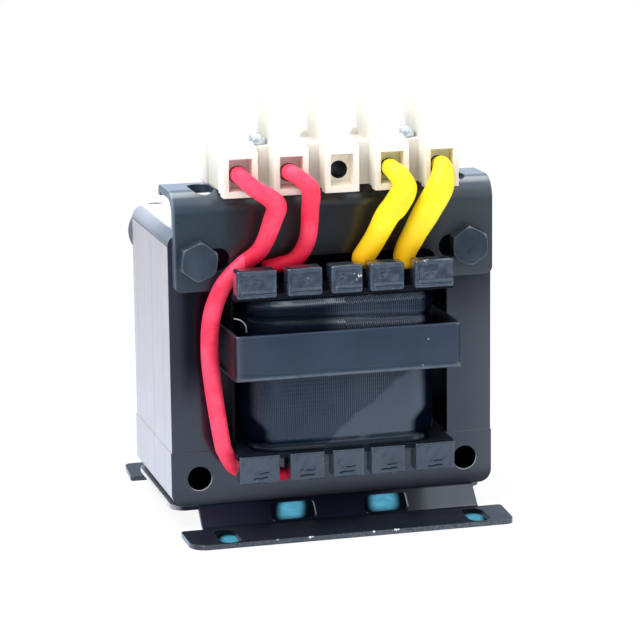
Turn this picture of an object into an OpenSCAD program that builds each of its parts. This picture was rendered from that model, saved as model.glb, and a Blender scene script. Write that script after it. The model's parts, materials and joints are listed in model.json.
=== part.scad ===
// Small open-frame mains transformer: laminated core, wound bobbin,
// sheet-metal feet, top bracket and five-pole terminal strip.
// Frame: millimetres, +Z up, origin under the middle of the feet, front = -Y.

/* [Core] */
// Width of the lamination stack, left to right
core_w = 66; // [50:0.5:90]
// Height of the lamination stack
core_h = 55; // [40:0.5:80]
// Thickness of the lamination stack, front to back
stack_d = 34.7; // [20:0.1:50]
// Height of the bottom (I) yoke and of the top yoke
yoke_h = 11; // [8:0.5:16]
// Width of the centre limb
tongue_w = 22; // [16:0.5:30]
// Width of each outer limb
limb_w = 9.2; // [7:0.1:14]
// Radius of the outer corners of the stack
core_corner_r = 2.6; // [0.5:0.1:5]
// Amount the bottom yoke stands out at each end
yoke_over = 0.2; // [0:0.1:1]
// Diameter of the through holes in the core
core_hole_d = 4.8; // [3:0.1:7]
// Distance of the through holes from the edges of the stack
hole_inset = 5.5; // [4:0.1:8]

/* [Feet] */
// Height of the underside of the core above the floor
foot_h = 4.8; // [3:0.1:12]
// Sheet thickness of the base
base_t = 1; // [0.8:0.1:2]
// Distance of the ends of the base web from the ends of the core
base_short = 4.5; // [2:0.1:10]
// Sideways offset of the base web
base_shift = 0.6; // [-1:0.1:1]
// Amount each foot flange stands out past the ends of the core
flange_over = 0; // [-2:0.1:5]
// Reach of each foot flange past the face of the stack
flange_d = 15.15; // [10:0.05:25]
// Depth of the wider foot ends
foot_end_d = 10.9; // [8:0.1:13]
// Front corner radius of the right foot ends
foot_corner_r = 1.8; // [0.5:0.1:2.5]
// Front corner radius of the left foot ends
foot_left_r = 3.4; // [0.5:0.1:4]
// Amount the left foot ends stop short of the ends of the core
foot_left_in = 0.5; // [0:0.1:2]
// Skew of the right foot ends
foot_skew = 0.6; // [0:0.1:1]
// Reach of the top plate of the base past the web
plate_over = 3; // [1:0.1:4]
// Thickness of the pressed ends of the top plate
plate_end_t = 0.9; // [0.4:0.1:1]
// Corner radius of the ends of the top plate
plate_end_r = 3; // [1:0.1:5]
// Inner radius of the bends of the base
base_bend_r = 0.8; // [0.4:0.1:1.5]
// Width of the fixing slots
foot_slot_w = 4.3; // [3:0.1:6]
// Length of the fixing slots
foot_slot_l = 9; // [5:0.1:12]
// Distance of the fixing slots from the ends of the core
foot_slot_in = 7.5; // [5:0.1:12]
// Distance of the fixing slots from the free edge of the flange
foot_slot_back = 5.05; // [4.8:0.05:9]
// Sideways offset of the fixing slots
foot_slot_shift = 1.1; // [-2:0.1:2]
// Width of the windows in the base web
web_window_w = 9.2; // [5:0.1:14]
// Height of the windows in the base web
web_window_h = 3.1; // [2:0.1:3.5]
// Distance of the web windows from the middle
web_window_x = 9.6; // [6:0.1:16]

/* [Top bracket] */
// Sheet thickness of the top bracket
brk_t = 1.5; // [1:0.1:3]
// Amount the top bracket is shorter than the core
brk_short = 1; // [0:0.1:5]
// Sideways offset of the bracket on its slots
brk_shift = 0.4; // [-1:0.1:1]
// Reach of the skirt below the top of the core windows
skirt_drop = 0.5; // [0:0.1:2]
// Height of the bracket top above the core top
brk_rise = 8.1; // [5:0.1:15]
// Inner radius of the front bend
brk_bend_r = 3; // [1:0.1:6]
// Depth of the top flange measured from the core face
brk_depth = 11.7; // [9:0.1:20]
// Height of the turned-down rear lip
lip_h = 2.1; // [1.8:0.1:6]
// Width of the notch over the coil
notch_w = 41.2; // [30:0.1:50]
// Height of the notch over the coil
notch_h = 5.9; // [2:0.1:9]
// Length of the bolt slots in the skirt
skirt_slot_l = 9; // [5:0.1:14]
// Height of the bolt slots in the skirt
skirt_slot_w = 4.6; // [3:0.1:6]
// Distance of the skirt slot centres inward of the bolts
skirt_slot_in = 1.7; // [0:0.1:2.2]
// Distance of the slots in the top flange inward of the bolts
top_slot_in = 1.9; // [0:0.1:4]
// Width of the slots in the top flange
top_slot_w = 4.6; // [3:0.1:6]
// Length of the slots in the top flange
top_slot_l = 8; // [5:0.1:9]
// Distance of the flange slots behind the face of the core
top_slot_y = 4.35; // [4.1:0.05:6]

/* [Coil] */
// Gap between the wrapped coil and the outer limbs
coil_gap = 4.6; // [2:0.1:6]
// Build of the wrapped coil in front of the stack
coil_build = 10.25; // [6:0.05:14]
// Corner radius of the wrapped coil
coil_r = 6; // [2:0.1:10]
// Thickness of the tape wrap
wrap_t = 0.5; // [0.3:0.1:2]
// Wall thickness of the bobbin tube
tube_t = 1; // [0.6:0.1:2]
// Thickness of the bobbin end plates
plate_t = 1.1; // [0.8:0.1:2]
// Gap between the bobbin end plates and the outer limbs
plate_gap = 1.8; // [0.3:0.1:3]
// Distance of the tab faces in front of the coil
tab_over = 0.8; // [0.2:0.1:2]
// Depth of the bobbin terminal tabs
tab_d = 4; // [2:0.1:6]
// Height of the upper tabs above the plate
tab_up_h = 4.9; // [3:0.1:7]
// Drop of the lower tabs below the plate
tab_down_h = 4.7; // [3:0.1:7]

/* [Strap] */
// Gap between the strap and the outer limbs
strap_gap = 0.7; // [0.5:0.1:2]
// Sideways offset of the strap
strap_shift = 0.4; // [-0.4:0.1:0.4]
// Sheet thickness of the strap
strap_t = 1; // [0.5:0.1:2]
// Height of the strap band
strap_h = 9; // [5:0.1:15]
// Height of the lower strap edge above the core bottom
strap_low = 27.1; // [15:0.1:35]

/* [Fasteners] */
// Width across flats of the clamping bolt heads
bolt_af = 7; // [5:0.1:10]
// Height of the clamping bolt heads
bolt_head_h = 2.8; // [2:0.1:4]
// Shank diameter of the clamping bolts
bolt_d = 4; // [3:0.1:6]
// Outer diameter of the rear washers
washer_d = 11.4; // [8:0.1:14]
// Hole diameter of the rear washers
washer_hole = 5.4; // [5.2:0.1:7]
// Outward play taken up by the washers on the bolts
washer_shift = 0.5; // [0:0.1:0.5]
// Thickness of the rear washers
washer_t = 1; // [0.5:0.1:2]
// Height of the rear nuts
nut_h = 3.2; // [2:0.1:5]
// Thread left showing past the nuts
bolt_end = 1.4; // [0.5:0.1:5]
// Upward play taken up by the clamping bolts in their holes
bolt_lift = 0.3; // [0:0.05:0.3]

/* [Terminal strip] */
// Centre distance of the poles
pole_pitch = 10.1; // [8:0.1:12]
// Width of each pole
pole_w = 6.8; // [5:0.1:9]
// Width of the screw towers
tower_w = 5.6; // [4:0.1:8]
// Distance of the strip front ahead of the stack
strip_over = 7.65; // [5:0.05:12]
// Depth of the strip
strip_d = 20; // [14:0.1:30]
// Depth of the wire entry boxes
entry_d = 4.5; // [2:0.1:8]
// Height of the wire entry boxes
entry_h = 8.3; // [6:0.1:12]
// Extra height of the sloping box tops
entry_rise = 1.4; // [0:0.1:3]
// Depth of the aprons that hang past the bracket
apron_d = 2.8; // [1:0.1:4]
// Drop of the aprons below the strip base
apron_h = 0.5; // [0.1:0.1:2]
// Width of the wire entry recess
recess_w = 4.6; // [3:0.1:6]
// Height of the wire entry recess at its mouth
recess_h = 6.3; // [5:0.1:7]
// Depth of the wire entry recess
recess_d = 2.8; // [1:0.1:3]
// Height of the recess mouth above the strip base
recess_low = 0.7; // [0.5:0.1:1.2]
// Height of the screw towers
tower_h = 17; // [12:0.1:25]
// Height of the webs between the poles
web_h = 8.5; // [5:0.1:12]
// Depth of the webs between the poles
web_d = 9; // [6:0.1:14]
// Height of the wire hole above the strip base
wire_z = 3.6; // [2.8:0.1:6]
// Outer diameter of the brass clamp tubes
clamp_d = 5; // [4:0.1:7]
// Bore of the brass clamp tubes
clamp_bore = 3.4; // [2:0.1:5]
// Length of the brass clamp tubes
clamp_l = 13.2; // [8:0.1:18]
// Distance of the clamp screws from the middle of the strip
well_y = 3.4; // [2.5:0.1:5]
// Diameter of the screw wells
well_d = 3.8; // [3:0.1:5]
// Head diameter of the clamp screws
cs_head_d = 3.5; // [2.5:0.1:4.5]
// Head height of the clamp screws
cs_head_h = 3.2; // [2:0.1:5]
// Thread diameter of the clamp screws
cs_thread_d = 2.5; // [2:0.1:3]
// Head diameter of the strip fixing screws
fs_head_d = 4.3; // [3:0.1:5]
// Head height of the strip fixing screws
fs_head_h = 2.2; // [1:0.1:3]
// Thread diameter of the strip fixing screws
fs_thread_d = 2.5; // [2:0.1:3]
// Width of the screw driver slots
driver_slot = 0.6; // [0.4:0.1:1]

/* [Leads] */
// Diameter of the red sleeves
red_d = 3.4; // [2:0.1:5]
// Diameter of the yellow sleeves
yellow_d = 4; // [2:0.1:5]
// Diameter of the bare conductor in the clamps
wire_d = 1.6; // [0.5:0.1:3]
// Reach of the bare conductor into the strip
wire_reach = 8; // [4:0.1:12]
// Length of one step of the lead routes
lead_step = 1; // [0.8:0.01:1.2]
// Depth of the recess for the long lead in the bobbin plates
lead_recess = 0.9; // [0.7:0.1:2]
// Distance of the end of the long lead below the top of the bottom yoke
lead_low = 4.8; // [4:0.1:6]

/* [Hidden] */
$fn = 32;
fit = 0.3;
seat = 0.1;
eps = 0.01;
cz = foot_h;
half_d = stack_d / 2;
bolt_x = core_w / 2 - hole_inset;
bolt_z = core_h - hole_inset;
win_top = core_h - yoke_h;
win_hx = core_w / 2 - limb_w;
coil_hx = win_hx - coil_gap;
coil_hy = half_d + coil_build;
plate_hx = win_hx - plate_gap;
tab_hy = coil_hy + tab_over;
strap_hx = win_hx - strap_gap;
strap_hy = coil_hy + fit + strap_t;
base_w = core_w - 2 * base_short;
flange_w = core_w + 2 * flange_over;
foot_depth = stack_d + 2 * flange_d;
foot_inner = foot_depth / 2 - foot_end_d;
flange_hx = flange_w / 2;
foot_pitch_x = core_w - 2 * foot_slot_in;
foot_pitch_y = foot_depth - 2 * foot_slot_back;
brk_w = core_w - brk_short;
skirt_low = win_top - skirt_drop;
brk_top = core_h + brk_rise;
skirt_slot_x = bolt_x - skirt_slot_in;
top_slot_x = bolt_x - top_slot_in;
strip_front = -half_d - strip_over;
strip_x = 0.3;
strip_mid = strip_front + strip_d / 2;
strip_z = brk_top;
screw_y = strip_mid - 1;
side_x = strap_hx - strap_shift;
lead_drop = strip_z + wire_z - yoke_h + lead_low;
// places and widths of the tabs as parts of the half width of the plates
tab_x = [for (k = [-0.809, -0.373, 0.009, 0.377, 0.814]) k * plate_hx];
tab_w = [for (k = [0.364, 0.318, 0.291, 0.318, 0.364]) k * plate_hx];
sides = 12;

// ---------- helpers ----------

// box from x0..x1, y0..y1, z0..z1, heights measured from the core bottom
module bx(x0, x1, y0, y1, z0, z1) {
    translate([x0, y0, cz + z0])
        cube([x1 - x0, y1 - y0, z1 - z0]);
}

// rounded rectangle in plan
module rr(hx, hy, r) {
    square([2 * (hx - r), 2 * hy], center = true);
    square([2 * hx, 2 * (hy - r)], center = true);
    for (sx = [-1, 1], sy = [-1, 1])
        translate([sx * (hx - r), sy * (hy - r)])
            circle(r = r);
}

// cylinder along Y from y0 to y1 at x, height z above the core bottom
module cyl_y(x, z, y0, y1, d) {
    translate([x, y0, cz + z])
        rotate([-90, 0, 0])
            cylinder(d = d, h = y1 - y0);
}

// cylinder along Z
module cyl_z(x, y, z0, z1, d) {
    translate([x, y, cz + z0])
        cylinder(d = d, h = z1 - z0);
}

// flat obround along X in the XY plane
module obround(l, w) {
    square([l - w, w], center = true);
    for (s = [-1, 1])
        translate([s * (l - w) / 2, 0])
            circle(d = w);
}

// profile drawn in (y, z) extruded along X, centred on x
module along_x(x, w) {
    translate([x - w / 2, 0, cz])
        rotate([90, 0, 90])
            linear_extrude(w)
                children();
}

// ---------- core ----------

module core_outline() {
    translate([0, core_h / 2])
        rr(core_w / 2, core_h / 2, core_corner_r);
}

module core_e_stack() {
    color("#39414c")
    translate([0, half_d, cz])
        rotate([90, 0, 0])
            linear_extrude(stack_d)
                difference() {
                    intersection() {
                        core_outline();
                        translate([-core_w, yoke_h])
                            square([2 * core_w, core_h]);
                    }
                    for (s = [-1, 1]) {
                        x0 = tongue_w / 2;
                        x1 = core_w / 2 - limb_w;
                        translate([s * (x0 + x1) / 2 - (x1 - x0) / 2, yoke_h - 1])
                            square([x1 - x0, win_top - yoke_h + 1]);
                        translate([s * bolt_x, bolt_z])
                            circle(d = core_hole_d);
                    }
                }
}

module core_i_stack() {
    color("#39414c")
    translate([0, half_d, cz])
        rotate([90, 0, 0])
            linear_extrude(stack_d)
                difference() {
                    intersection() {
                        translate([0, core_h / 2])
                            rr(core_w / 2 + yoke_over, core_h / 2, core_corner_r);
                        translate([-core_w, 0])
                            square([2 * core_w, yoke_h]);
                    }
                    for (s = [-1, 1])
                        translate([s * bolt_x, hole_inset])
                            circle(d = core_hole_d);
                }
}

// ---------- coil ----------

module bobbin_plate(z0, z1) {
    difference() {
        bx(-plate_hx, plate_hx, -tab_hy + 1, tab_hy - 1, z0, z1);
        bx(-tongue_w / 2 - fit, tongue_w / 2 + fit,
            -half_d - fit, half_d + fit, z0 - 1, z1 + 1);
    }
}

module bobbin() {
    color("#2b3340") {
        difference() {
            union() {
                bobbin_plate(yoke_h + seat, yoke_h + seat + plate_t);
                bobbin_plate(win_top - seat - plate_t, win_top - seat);
            }
            // the upper plate is notched round the skirt of the bracket
            for (s = [-1, 1])
                scale([s, 1, 1])
                    bx(notch_w / 2 - brk_shift - fit, plate_hx + 1,
                        -half_d - brk_t - fit, -half_d + fit,
                        win_top - seat - plate_t - 1, win_top);
            // recess in the left ends of both for the long lead
            bx(-plate_hx - 1, -plate_hx + lead_recess,
                strip_front, -half_d - brk_t - fit, yoke_h, win_top);
        }
        difference() {
            bx(-tongue_w / 2 - fit - tube_t, tongue_w / 2 + fit + tube_t,
                -half_d - fit - tube_t, half_d + fit + tube_t,
                yoke_h + seat, win_top - seat);
            bx(-tongue_w / 2 - fit, tongue_w / 2 + fit,
                -half_d - fit, half_d + fit, yoke_h - 1, win_top + 1);
        }
    }
}

module ring_z(hx, hy, r, ix, iy, ir, z0, z1) {
    translate([0, 0, cz + z0])
        linear_extrude(z1 - z0)
            difference() {
                rr(hx, hy, r);
                rr(ix, iy, ir);
            }
}

module winding() {
    z0 = yoke_h + 2 * seat + plate_t;
    z1 = win_top - 2 * seat - plate_t;
    color("#3a2b22")
        ring_z(coil_hx - wrap_t, coil_hy - wrap_t, coil_r - wrap_t,
            tongue_w / 2 + fit + tube_t + seat,
            half_d + fit + tube_t + seat, 0.1, z0, z1);
}

module coil_wrap() {
    z0 = yoke_h + 2 * seat + plate_t;
    z1 = win_top - 2 * seat - plate_t;
    color("#1c222b")
        ring_z(coil_hx, coil_hy, coil_r, coil_hx - wrap_t + 0.02,
            coil_hy - wrap_t + 0.02, coil_r - wrap_t, z0, z1);
}

module strap() {
    color("#3b4654")
        translate([strap_shift, 0, 0])
            difference() {
                bx(-strap_hx, strap_hx, -strap_hy, strap_hy,
                    strap_low, strap_low + strap_h);
                bx(-strap_hx + strap_t, strap_hx - strap_t, -strap_hy + strap_t,
                    strap_hy - strap_t, strap_low - 1, strap_low + strap_h + 1);
            }
}

module liner(s) {
    x = coil_hx + 3 * fit;
    color("#4a4f55")
        bx(s > 0 ? x : -x - 0.5, s > 0 ? x + 0.5 : -x, -half_d - 0.3,
            half_d + 0.3, yoke_h + 2 * seat + plate_t,
            win_top - 2 * seat - plate_t);
}

module liner_left() {
    liner(-1);
}

module liner_right() {
    liner(1);
}

// one upper tab: block with a shallow framed face, front = -Y
module tab_upper(x, w) {
    z0 = win_top - seat - plate_t + 0.5;
    z1 = win_top + tab_up_h;
    difference() {
        along_x(x, w)
            polygon([
                [-tab_hy, z0 + 0.3],
                [-tab_hy + 0.3, z0],
                [-tab_hy + tab_d, z0],
                [-tab_hy + tab_d, z1],
                [-tab_hy + 0.7, z1],
                [-tab_hy, z1 - 0.7]]);
        bx(x - w / 2 + 0.9, x + w / 2 + 1, -tab_hy - 1, -tab_hy + 0.4,
            z0 + 1.2, z1 - 1.1);
        bobbin_cut();
    }
}

// keeps the tab blocks clear of the end plates
module bobbin_cut() {
    bx(-plate_hx - 1, plate_hx + 1, -tab_hy + 1, tab_hy - 1,
        yoke_h + seat, yoke_h + seat + plate_t);
    bx(-plate_hx - 1, plate_hx + 1, -tab_hy + 1, tab_hy - 1,
        win_top - seat - plate_t, win_top - seat);
}

module tab_lower(x, w) {
    z1 = yoke_h + seat + plate_t;
    z0 = yoke_h + 0.2 - tab_down_h;
    difference() {
        along_x(x, w)
            polygon([
                [-tab_hy, z0 + 0.3],
                [-tab_hy + 0.3, z0],
                [-tab_hy + tab_d, z0],
                [-tab_hy + tab_d, z1],
                [-tab_hy + 1.1, z1],
                [-tab_hy, z1 - 1.2]]);
        bobbin_cut();
    }
}

module tab_row(upper) {
    for (i = [0:4])
        if (upper)
            tab_upper(tab_x[i], tab_w[i]);
        else
            tab_lower(tab_x[i], tab_w[i]);
}

module tabs_front_upper() {
    color("#303a47")
        tab_row(true);
}

module tabs_front_lower() {
    color("#303a47")
        tab_row(false);
}

module tabs_rear_upper() {
    color("#303a47")
        rotate(180)
            tab_row(true);
}

module tabs_rear_lower() {
    color("#303a47")
        rotate(180)
            tab_row(false);
}

// ---------- sheet metal ----------

// points of an arc in a profile
function arc(y, z, r, a0, a1) =
    [for (k = [0:4]) [y + r * cos(a0 + k * (a1 - a0) / 4),
        z + r * sin(a0 + k * (a1 - a0) / 4)]];

// half of the bent sheet: top plate, web sloping at 45 degrees, flange
module base_profile() {
    t = base_t;
    r = base_bend_r;
    y0 = half_d + 0.05;
    drop = foot_h - t;
    ya = y0 - (r + t) * tan(22.5);
    yb = y0 + drop + r * tan(22.5);
    for (s = [-1, 1])
        scale([s, 1])
            polygon(concat([[-1, -t], [-1, 0]],
                arc(ya, -r - t, r + t, 90, 45),
                arc(yb, -drop + r, r, 225, 270),
                [[foot_depth / 2, -drop], [foot_depth / 2, -foot_h]],
                arc(yb, -drop + r, r + t, 270, 225),
                arc(ya, -r - t, r, 45, 90)));
}

// one foot in plan with rounded corners, at the front
module foot_plan() {
    xl = -flange_hx + foot_left_in;
    xr = flange_hx + 0.2;
    xs = xr + foot_skew;
    yf = -foot_depth / 2;
    yi = -foot_inner;
    a = foot_left_r;
    b = foot_corner_r;
    c = 0.8;
    polygon([
        [xl + a, yf],
        [xr - b, yf],
        [xr, yf + b],
        [xs, yi - c],
        [xs - c, yi],
        [xl + c, yi],
        [xl, yi - c],
        [xl, yf + a]]);
    translate([xl + a, yf + a])
        circle(r = a);
    translate([xr - b, yf + b])
        circle(r = b);
    translate([xs - c, yi - c])
        circle(r = c);
    translate([xl + c, yi - c])
        circle(r = c);
}

module base_plan() {
    difference() {
        union() {
            translate([base_shift, 0])
                square([base_w, foot_depth - foot_end_d], center = true);
            foot_plan();
            rotate(180)
                foot_plan();
        }
        for (sx = [-1, 1], sy = [-1, 1])
            translate([foot_slot_shift + sx * foot_pitch_x / 2,
                sy * foot_pitch_y / 2])
                rotate(90)
                    obround(foot_slot_l, foot_slot_w);
    }
}

module base() {
    color("#2a313d")
        difference() {
            intersection() {
                along_x(0, 2 * flange_w)
                    base_profile();
                linear_extrude(foot_h)
                    base_plan();
            }
            for (s = [-1, 1], f = [-1, 1])
                scale([1, f, 1])
                    translate([base_shift + s * web_window_x,
                        half_d + 6, base_t + 0.1 + web_window_h / 2])
                        rotate([90, 0, 0])
                            linear_extrude(6.6)
                                rr(web_window_w / 2, web_window_h / 2, 0.8);
        }
    // ends of the top plate, wider than the web
    plate_end(1, plate_over - 0.9);
    plate_end(-1, plate_over + 2.2);
}

module plate_end(s, over) {
    web_end = base_w / 2 + s * base_shift;
    translate([0, 0, cz - plate_end_t])
        linear_extrude(plate_end_t)
            intersection() {
                rr(web_end + over, half_d - 0.1, plate_end_r);
                translate([s * (web_end + 9.9), 0])
                    square([20, stack_d], center = true);
            }
}

module bracket_profile() {
    t = brk_t;
    ri = brk_bend_r;
    ro = ri + t;
    y0 = -half_d - t;
    yb = -half_d + brk_depth;
    yc = -half_d + ri;
    zc = brk_top - ro;
    difference() {
        union() {
            translate([y0, skirt_low])
                square([t, zc - skirt_low]);
            translate([yc, brk_top - t])
                square([yb - t - 0.1 - yc, t]);
            translate([yc, zc])
                intersection() {
                    circle(r = ro);
                    translate([-ro, 0])
                        square(ro);
                }
            translate([yb - t, brk_top - lip_h])
                square([t, lip_h - t]);
            translate([yb - t - 0.1, brk_top - t - 0.1])
                intersection() {
                    circle(r = t + 0.1);
                    square(t + 0.1);
                }
        }
        translate([yc, zc])
            circle(r = ri);
    }
}

module top_bracket() {
    color("#2a313d")
        difference() {
            along_x(brk_shift, brk_w)
                bracket_profile();
            // lower corners and notch of the skirt
            translate([brk_shift, 0, cz])
                rotate([90, 0, 0])
                    linear_extrude(40)
                        skirt_cut();
            // open slots in the top flange
            for (s = [-1, 1])
                translate([brk_shift + s * top_slot_x,
                    -half_d + top_slot_y,
                    cz + brk_top - 5])
                    linear_extrude(10)
                        rotate(90)
                            obround(top_slot_l, top_slot_w);
            for (s = [-1, 1])
                cyl_z(strip_x + s * 1.5 * pole_pitch, screw_y,
                    brk_top - 5, brk_top + 5, fs_thread_d + seat);
        }
}

module skirt_cut() {
    // notch over the coil
    translate([0, skirt_low])
        rr(notch_w / 2, notch_h, 2.4);
    // bolt slots
    for (s = [-1, 1])
        translate([s * skirt_slot_x, bolt_z + 0.1])
            obround(skirt_slot_l, skirt_slot_w);
    // outer lower corners
    for (s = [-1, 1])
        scale([s, 1])
            translate([brk_w / 2, skirt_low])
                difference() {
                    translate([-1.4, -1])
                        square([3, 2.4]);
                    translate([-1.4, 1.4])
                        circle(r = 1.4);
                }
}

// ---------- fasteners ----------

// places of the bolts, taking up the play in the holes
function bolt_at(s) = [s * bolt_x, bolt_z + bolt_lift];

module hex_bolt(s, turn) {
    p = bolt_at(s);
    y0 = -half_d - brk_t - 0.02;
    color("#39424e") {
        translate([p[0], y0, cz + p[1]])
            rotate([90, turn, 0])
                intersection() {
                    cylinder(d = bolt_af / cos(30), h = bolt_head_h, $fn = 6);
                    translate([0, 0, -1])
                        cylinder(d1 = bolt_af + 6.6, d2 = bolt_af + 0.3,
                            h = bolt_head_h + 1);
                }
        cyl_y(p[0], p[1], y0 - 0.5, half_d + washer_t + nut_h + bolt_end, bolt_d);
    }
}

module bolt_left() {
    hex_bolt(-1, 37);
}

module bolt_right() {
    hex_bolt(1, 28);
}

module washer(s) {
    x = s * (bolt_x + washer_shift);
    z = bolt_z - 0.05;
    color("#8a9098")
        difference() {
            cyl_y(x, z, half_d + 0.02, half_d + washer_t, washer_d);
            cyl_y(x, z, half_d - 1, half_d + 3, washer_hole);
        }
}

module washer_left() {
    washer(-1);
}

module washer_right() {
    washer(1);
}

module hex_nut(s) {
    p = bolt_at(s);
    y0 = half_d + washer_t + 0.02;
    color("#8a9098")
        difference() {
            translate([p[0], y0, cz + p[1]])
                rotate([-90, 0, 0])
                    cylinder(d = bolt_af / cos(30), h = nut_h, $fn = 6);
            cyl_y(p[0], p[1], y0 - 1, y0 + nut_h + 2, bolt_d + seat);
        }
}

module nut_left() {
    hex_nut(-1);
}

module nut_right() {
    hex_nut(1);
}

// ---------- terminal strip ----------

function pole_x(i) = strip_x + (i - 3) * pole_pitch;

module pole(x) {
    y0 = strip_front;
    y1 = strip_front + strip_d;
    z0 = strip_z + 0.02;
    // entry boxes with sloping tops, the front one with an apron
    for (s = [-1, 1])
        translate([0, strip_mid, 0])
            scale([1, s, 1])
                along_x(x, pole_w)
                    polygon([
                        [strip_d / 2 - entry_d, z0],
                        [strip_d / 2 - apron_d, z0],
                        [strip_d / 2 - apron_d, z0 - (s < 0 ? apron_h : 0)],
                        [strip_d / 2, z0 - (s < 0 ? apron_h : 0)],
                        [strip_d / 2, z0 + entry_h],
                        [strip_d / 2 - entry_d, z0 + entry_h + entry_rise]]);
    // tower
    bx(x - tower_w / 2, x + tower_w / 2, y0 + entry_d - eps,
        y1 - entry_d + eps, z0, z0 + tower_h);
}

module pole_cut(x) {
    z0 = strip_z;
    // wire entries: recess with a rising floor, wire hole, seat of the clamp
    for (s = [-1, 1])
        translate([0, strip_mid, 0])
            scale([1, s, 1])
                along_x(x, recess_w)
                    polygon([
                        [strip_d / 2 - recess_d, z0 + recess_low + 0.5],
                        [strip_d / 2, z0 + recess_low],
                        [strip_d / 2 + 1, z0 + recess_low],
                        [strip_d / 2 + 1, z0 + recess_low + recess_h],
                        [strip_d / 2 - recess_d, z0 + recess_low + recess_h]]);
    cyl_y(x, z0 + wire_z, strip_front - 1, strip_front + strip_d + 1, clamp_bore);
    cyl_y(x, z0 + wire_z, strip_mid - clamp_l / 2 - 0.05,
        strip_mid + clamp_l / 2 + 0.05, clamp_d + 0.06);
    // screw wells
    for (s = [-1, 1])
        cyl_z(x, strip_mid + s * well_y, z0 + wire_z, z0 + tower_h + 1, well_d);
}

module terminal_housing() {
    color("#f1efe4")
        difference() {
            union() {
                for (i = [1:5])
                    pole(pole_x(i));
                bx(strip_x - 2 * pole_pitch, strip_x + 2 * pole_pitch,
                    strip_mid - web_d / 2, strip_mid + web_d / 2,
                    strip_z + 0.02, strip_z + web_h);
            }
            for (i = [1:5])
                pole_cut(pole_x(i));
            for (s = [-1, 1])
                cyl_z(strip_x + s * 1.5 * pole_pitch, screw_y,
                    strip_z - 1, strip_z + web_h + 1, fs_thread_d + fit);
        }
}

module clamp(i) {
    x = pole_x(i);
    z = strip_z + wire_z;
    color("#c9a44a")
        difference() {
            cyl_y(x, z, strip_mid - clamp_l / 2, strip_mid + clamp_l / 2, clamp_d);
            cyl_y(x, z, strip_mid - clamp_l, strip_mid + clamp_l, clamp_bore);
            for (s = [-1, 1])
                cyl_z(x, strip_mid + s * well_y, z, z + clamp_d, cs_thread_d + 0.2);
        }
}

module clamp_screw(x, y) {
    z = strip_z + wire_z + clamp_d / 2 + seat;
    color("#b9bec4")
        difference() {
            union() {
                cyl_z(x, y, z, z + cs_head_h, cs_head_d);
                cyl_z(x, y, z - 0.8, z + 0.5, cs_thread_d);
            }
            bx(x - cs_head_d, x + cs_head_d, y - driver_slot / 2,
                y + driver_slot / 2, z + cs_head_h - 0.9, z + cs_head_h + 1);
        }
}

module clamp_screws(i) {
    for (s = [-1, 1])
        clamp_screw(pole_x(i), strip_mid + s * well_y);
}

module clamp_1() {
    clamp(1);
}

module clamp_2() {
    clamp(2);
}

module clamp_3() {
    clamp(3);
}

module clamp_4() {
    clamp(4);
}

module clamp_5() {
    clamp(5);
}

module clamp_screws_1() {
    clamp_screws(1);
}

module clamp_screws_2() {
    clamp_screws(2);
}

module clamp_screws_3() {
    clamp_screws(3);
}

module clamp_screws_4() {
    clamp_screws(4);
}

module clamp_screws_5() {
    clamp_screws(5);
}

module strip_screw(s) {
    x = strip_x + s * 1.5 * pole_pitch;
    z = strip_z + web_h + 0.02;
    color("#b9bec4")
        difference() {
            union() {
                translate([x, screw_y, cz + z])
                    cylinder(d1 = fs_head_d, d2 = 0.9 * fs_head_d, h = fs_head_h);
                cyl_z(x, screw_y, strip_z - 2 * brk_t - 1, z + 0.5, fs_thread_d);
            }
            bx(x - fs_head_d, x + fs_head_d, screw_y - driver_slot / 2,
                screw_y + driver_slot / 2, z + fs_head_h - 0.9, z + fs_head_h + 1);
        }
}

module strip_screw_left() {
    strip_screw(-1);
}

module strip_screw_right() {
    strip_screw(1);
}

// ---------- leads ----------

function lerp(a, b, t) = a + (b - a) * t;
function cr(p0, p1, p2, p3, t) = 0.5 * ((2 * p1) + (p2 - p0) * t
    + (2 * p0 - 5 * p1 + 4 * p2 - p3) * t * t
    + (3 * p1 - p0 - 3 * p2 + p3) * t * t * t);
function smooth(p, n) = [
    for (i = [0:len(p) - 2], k = [0:n - 1])
        cr(p[max(i - 1, 0)], p[i], p[i + 1], p[min(i + 2, len(p) - 1)], k / n),
    p[len(p) - 1]];
function unit(v) = v / norm(v);
function tangent(p, i) = unit(p[min(i + 1, len(p) - 1)] - p[max(i - 1, 0)]);
function side(t) = unit(cross(t, abs(t[0]) < 0.9 ? [1, 0, 0] : [0, 0, 1]));
function frames(p, i = 0, u = undef, out = []) =
    i >= len(p) ? out :
    let (t = tangent(p, i),
        v = u == undef ? side(t) : unit(u - (u * t) * t))
    frames(p, i + 1, v, concat(out, [[v, cross(t, v)]]));

module sweep(path, d) {
    f = frames(path);
    n = len(path);
    pts = [
        for (i = [0:n - 1], k = [0:sides - 1])
            path[i] + d / 2 * (cos(360 * k / sides) * f[i][0]
                + sin(360 * k / sides) * f[i][1])];
    faces = concat(
        [[for (k = [0:sides - 1]) k]],
        [for (i = [0:n - 2], k = [0:sides - 1])
            [i * sides + k, (i + 1) * sides + k,
                (i + 1) * sides + (k + 1) % sides, i * sides + (k + 1) % sides]],
        [[for (k = [sides - 1:-1:0]) (n - 1) * sides + k]]);
    translate([0, 0, cz])
        polyhedron(points = pts, faces = faces, convexity = 8);
}

// routes of the leads as steps from the mouth of their pole
red_1 = [
    [0, 2.5, 0],
    [-0.2, -0.4, 0.2],
    [2.3, -1.8, -2.2],
    [4.8, -2.2, -3.8],
    [6.5, -1.6, -5.7],
    [6.3, 0, -8.5]];
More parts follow.
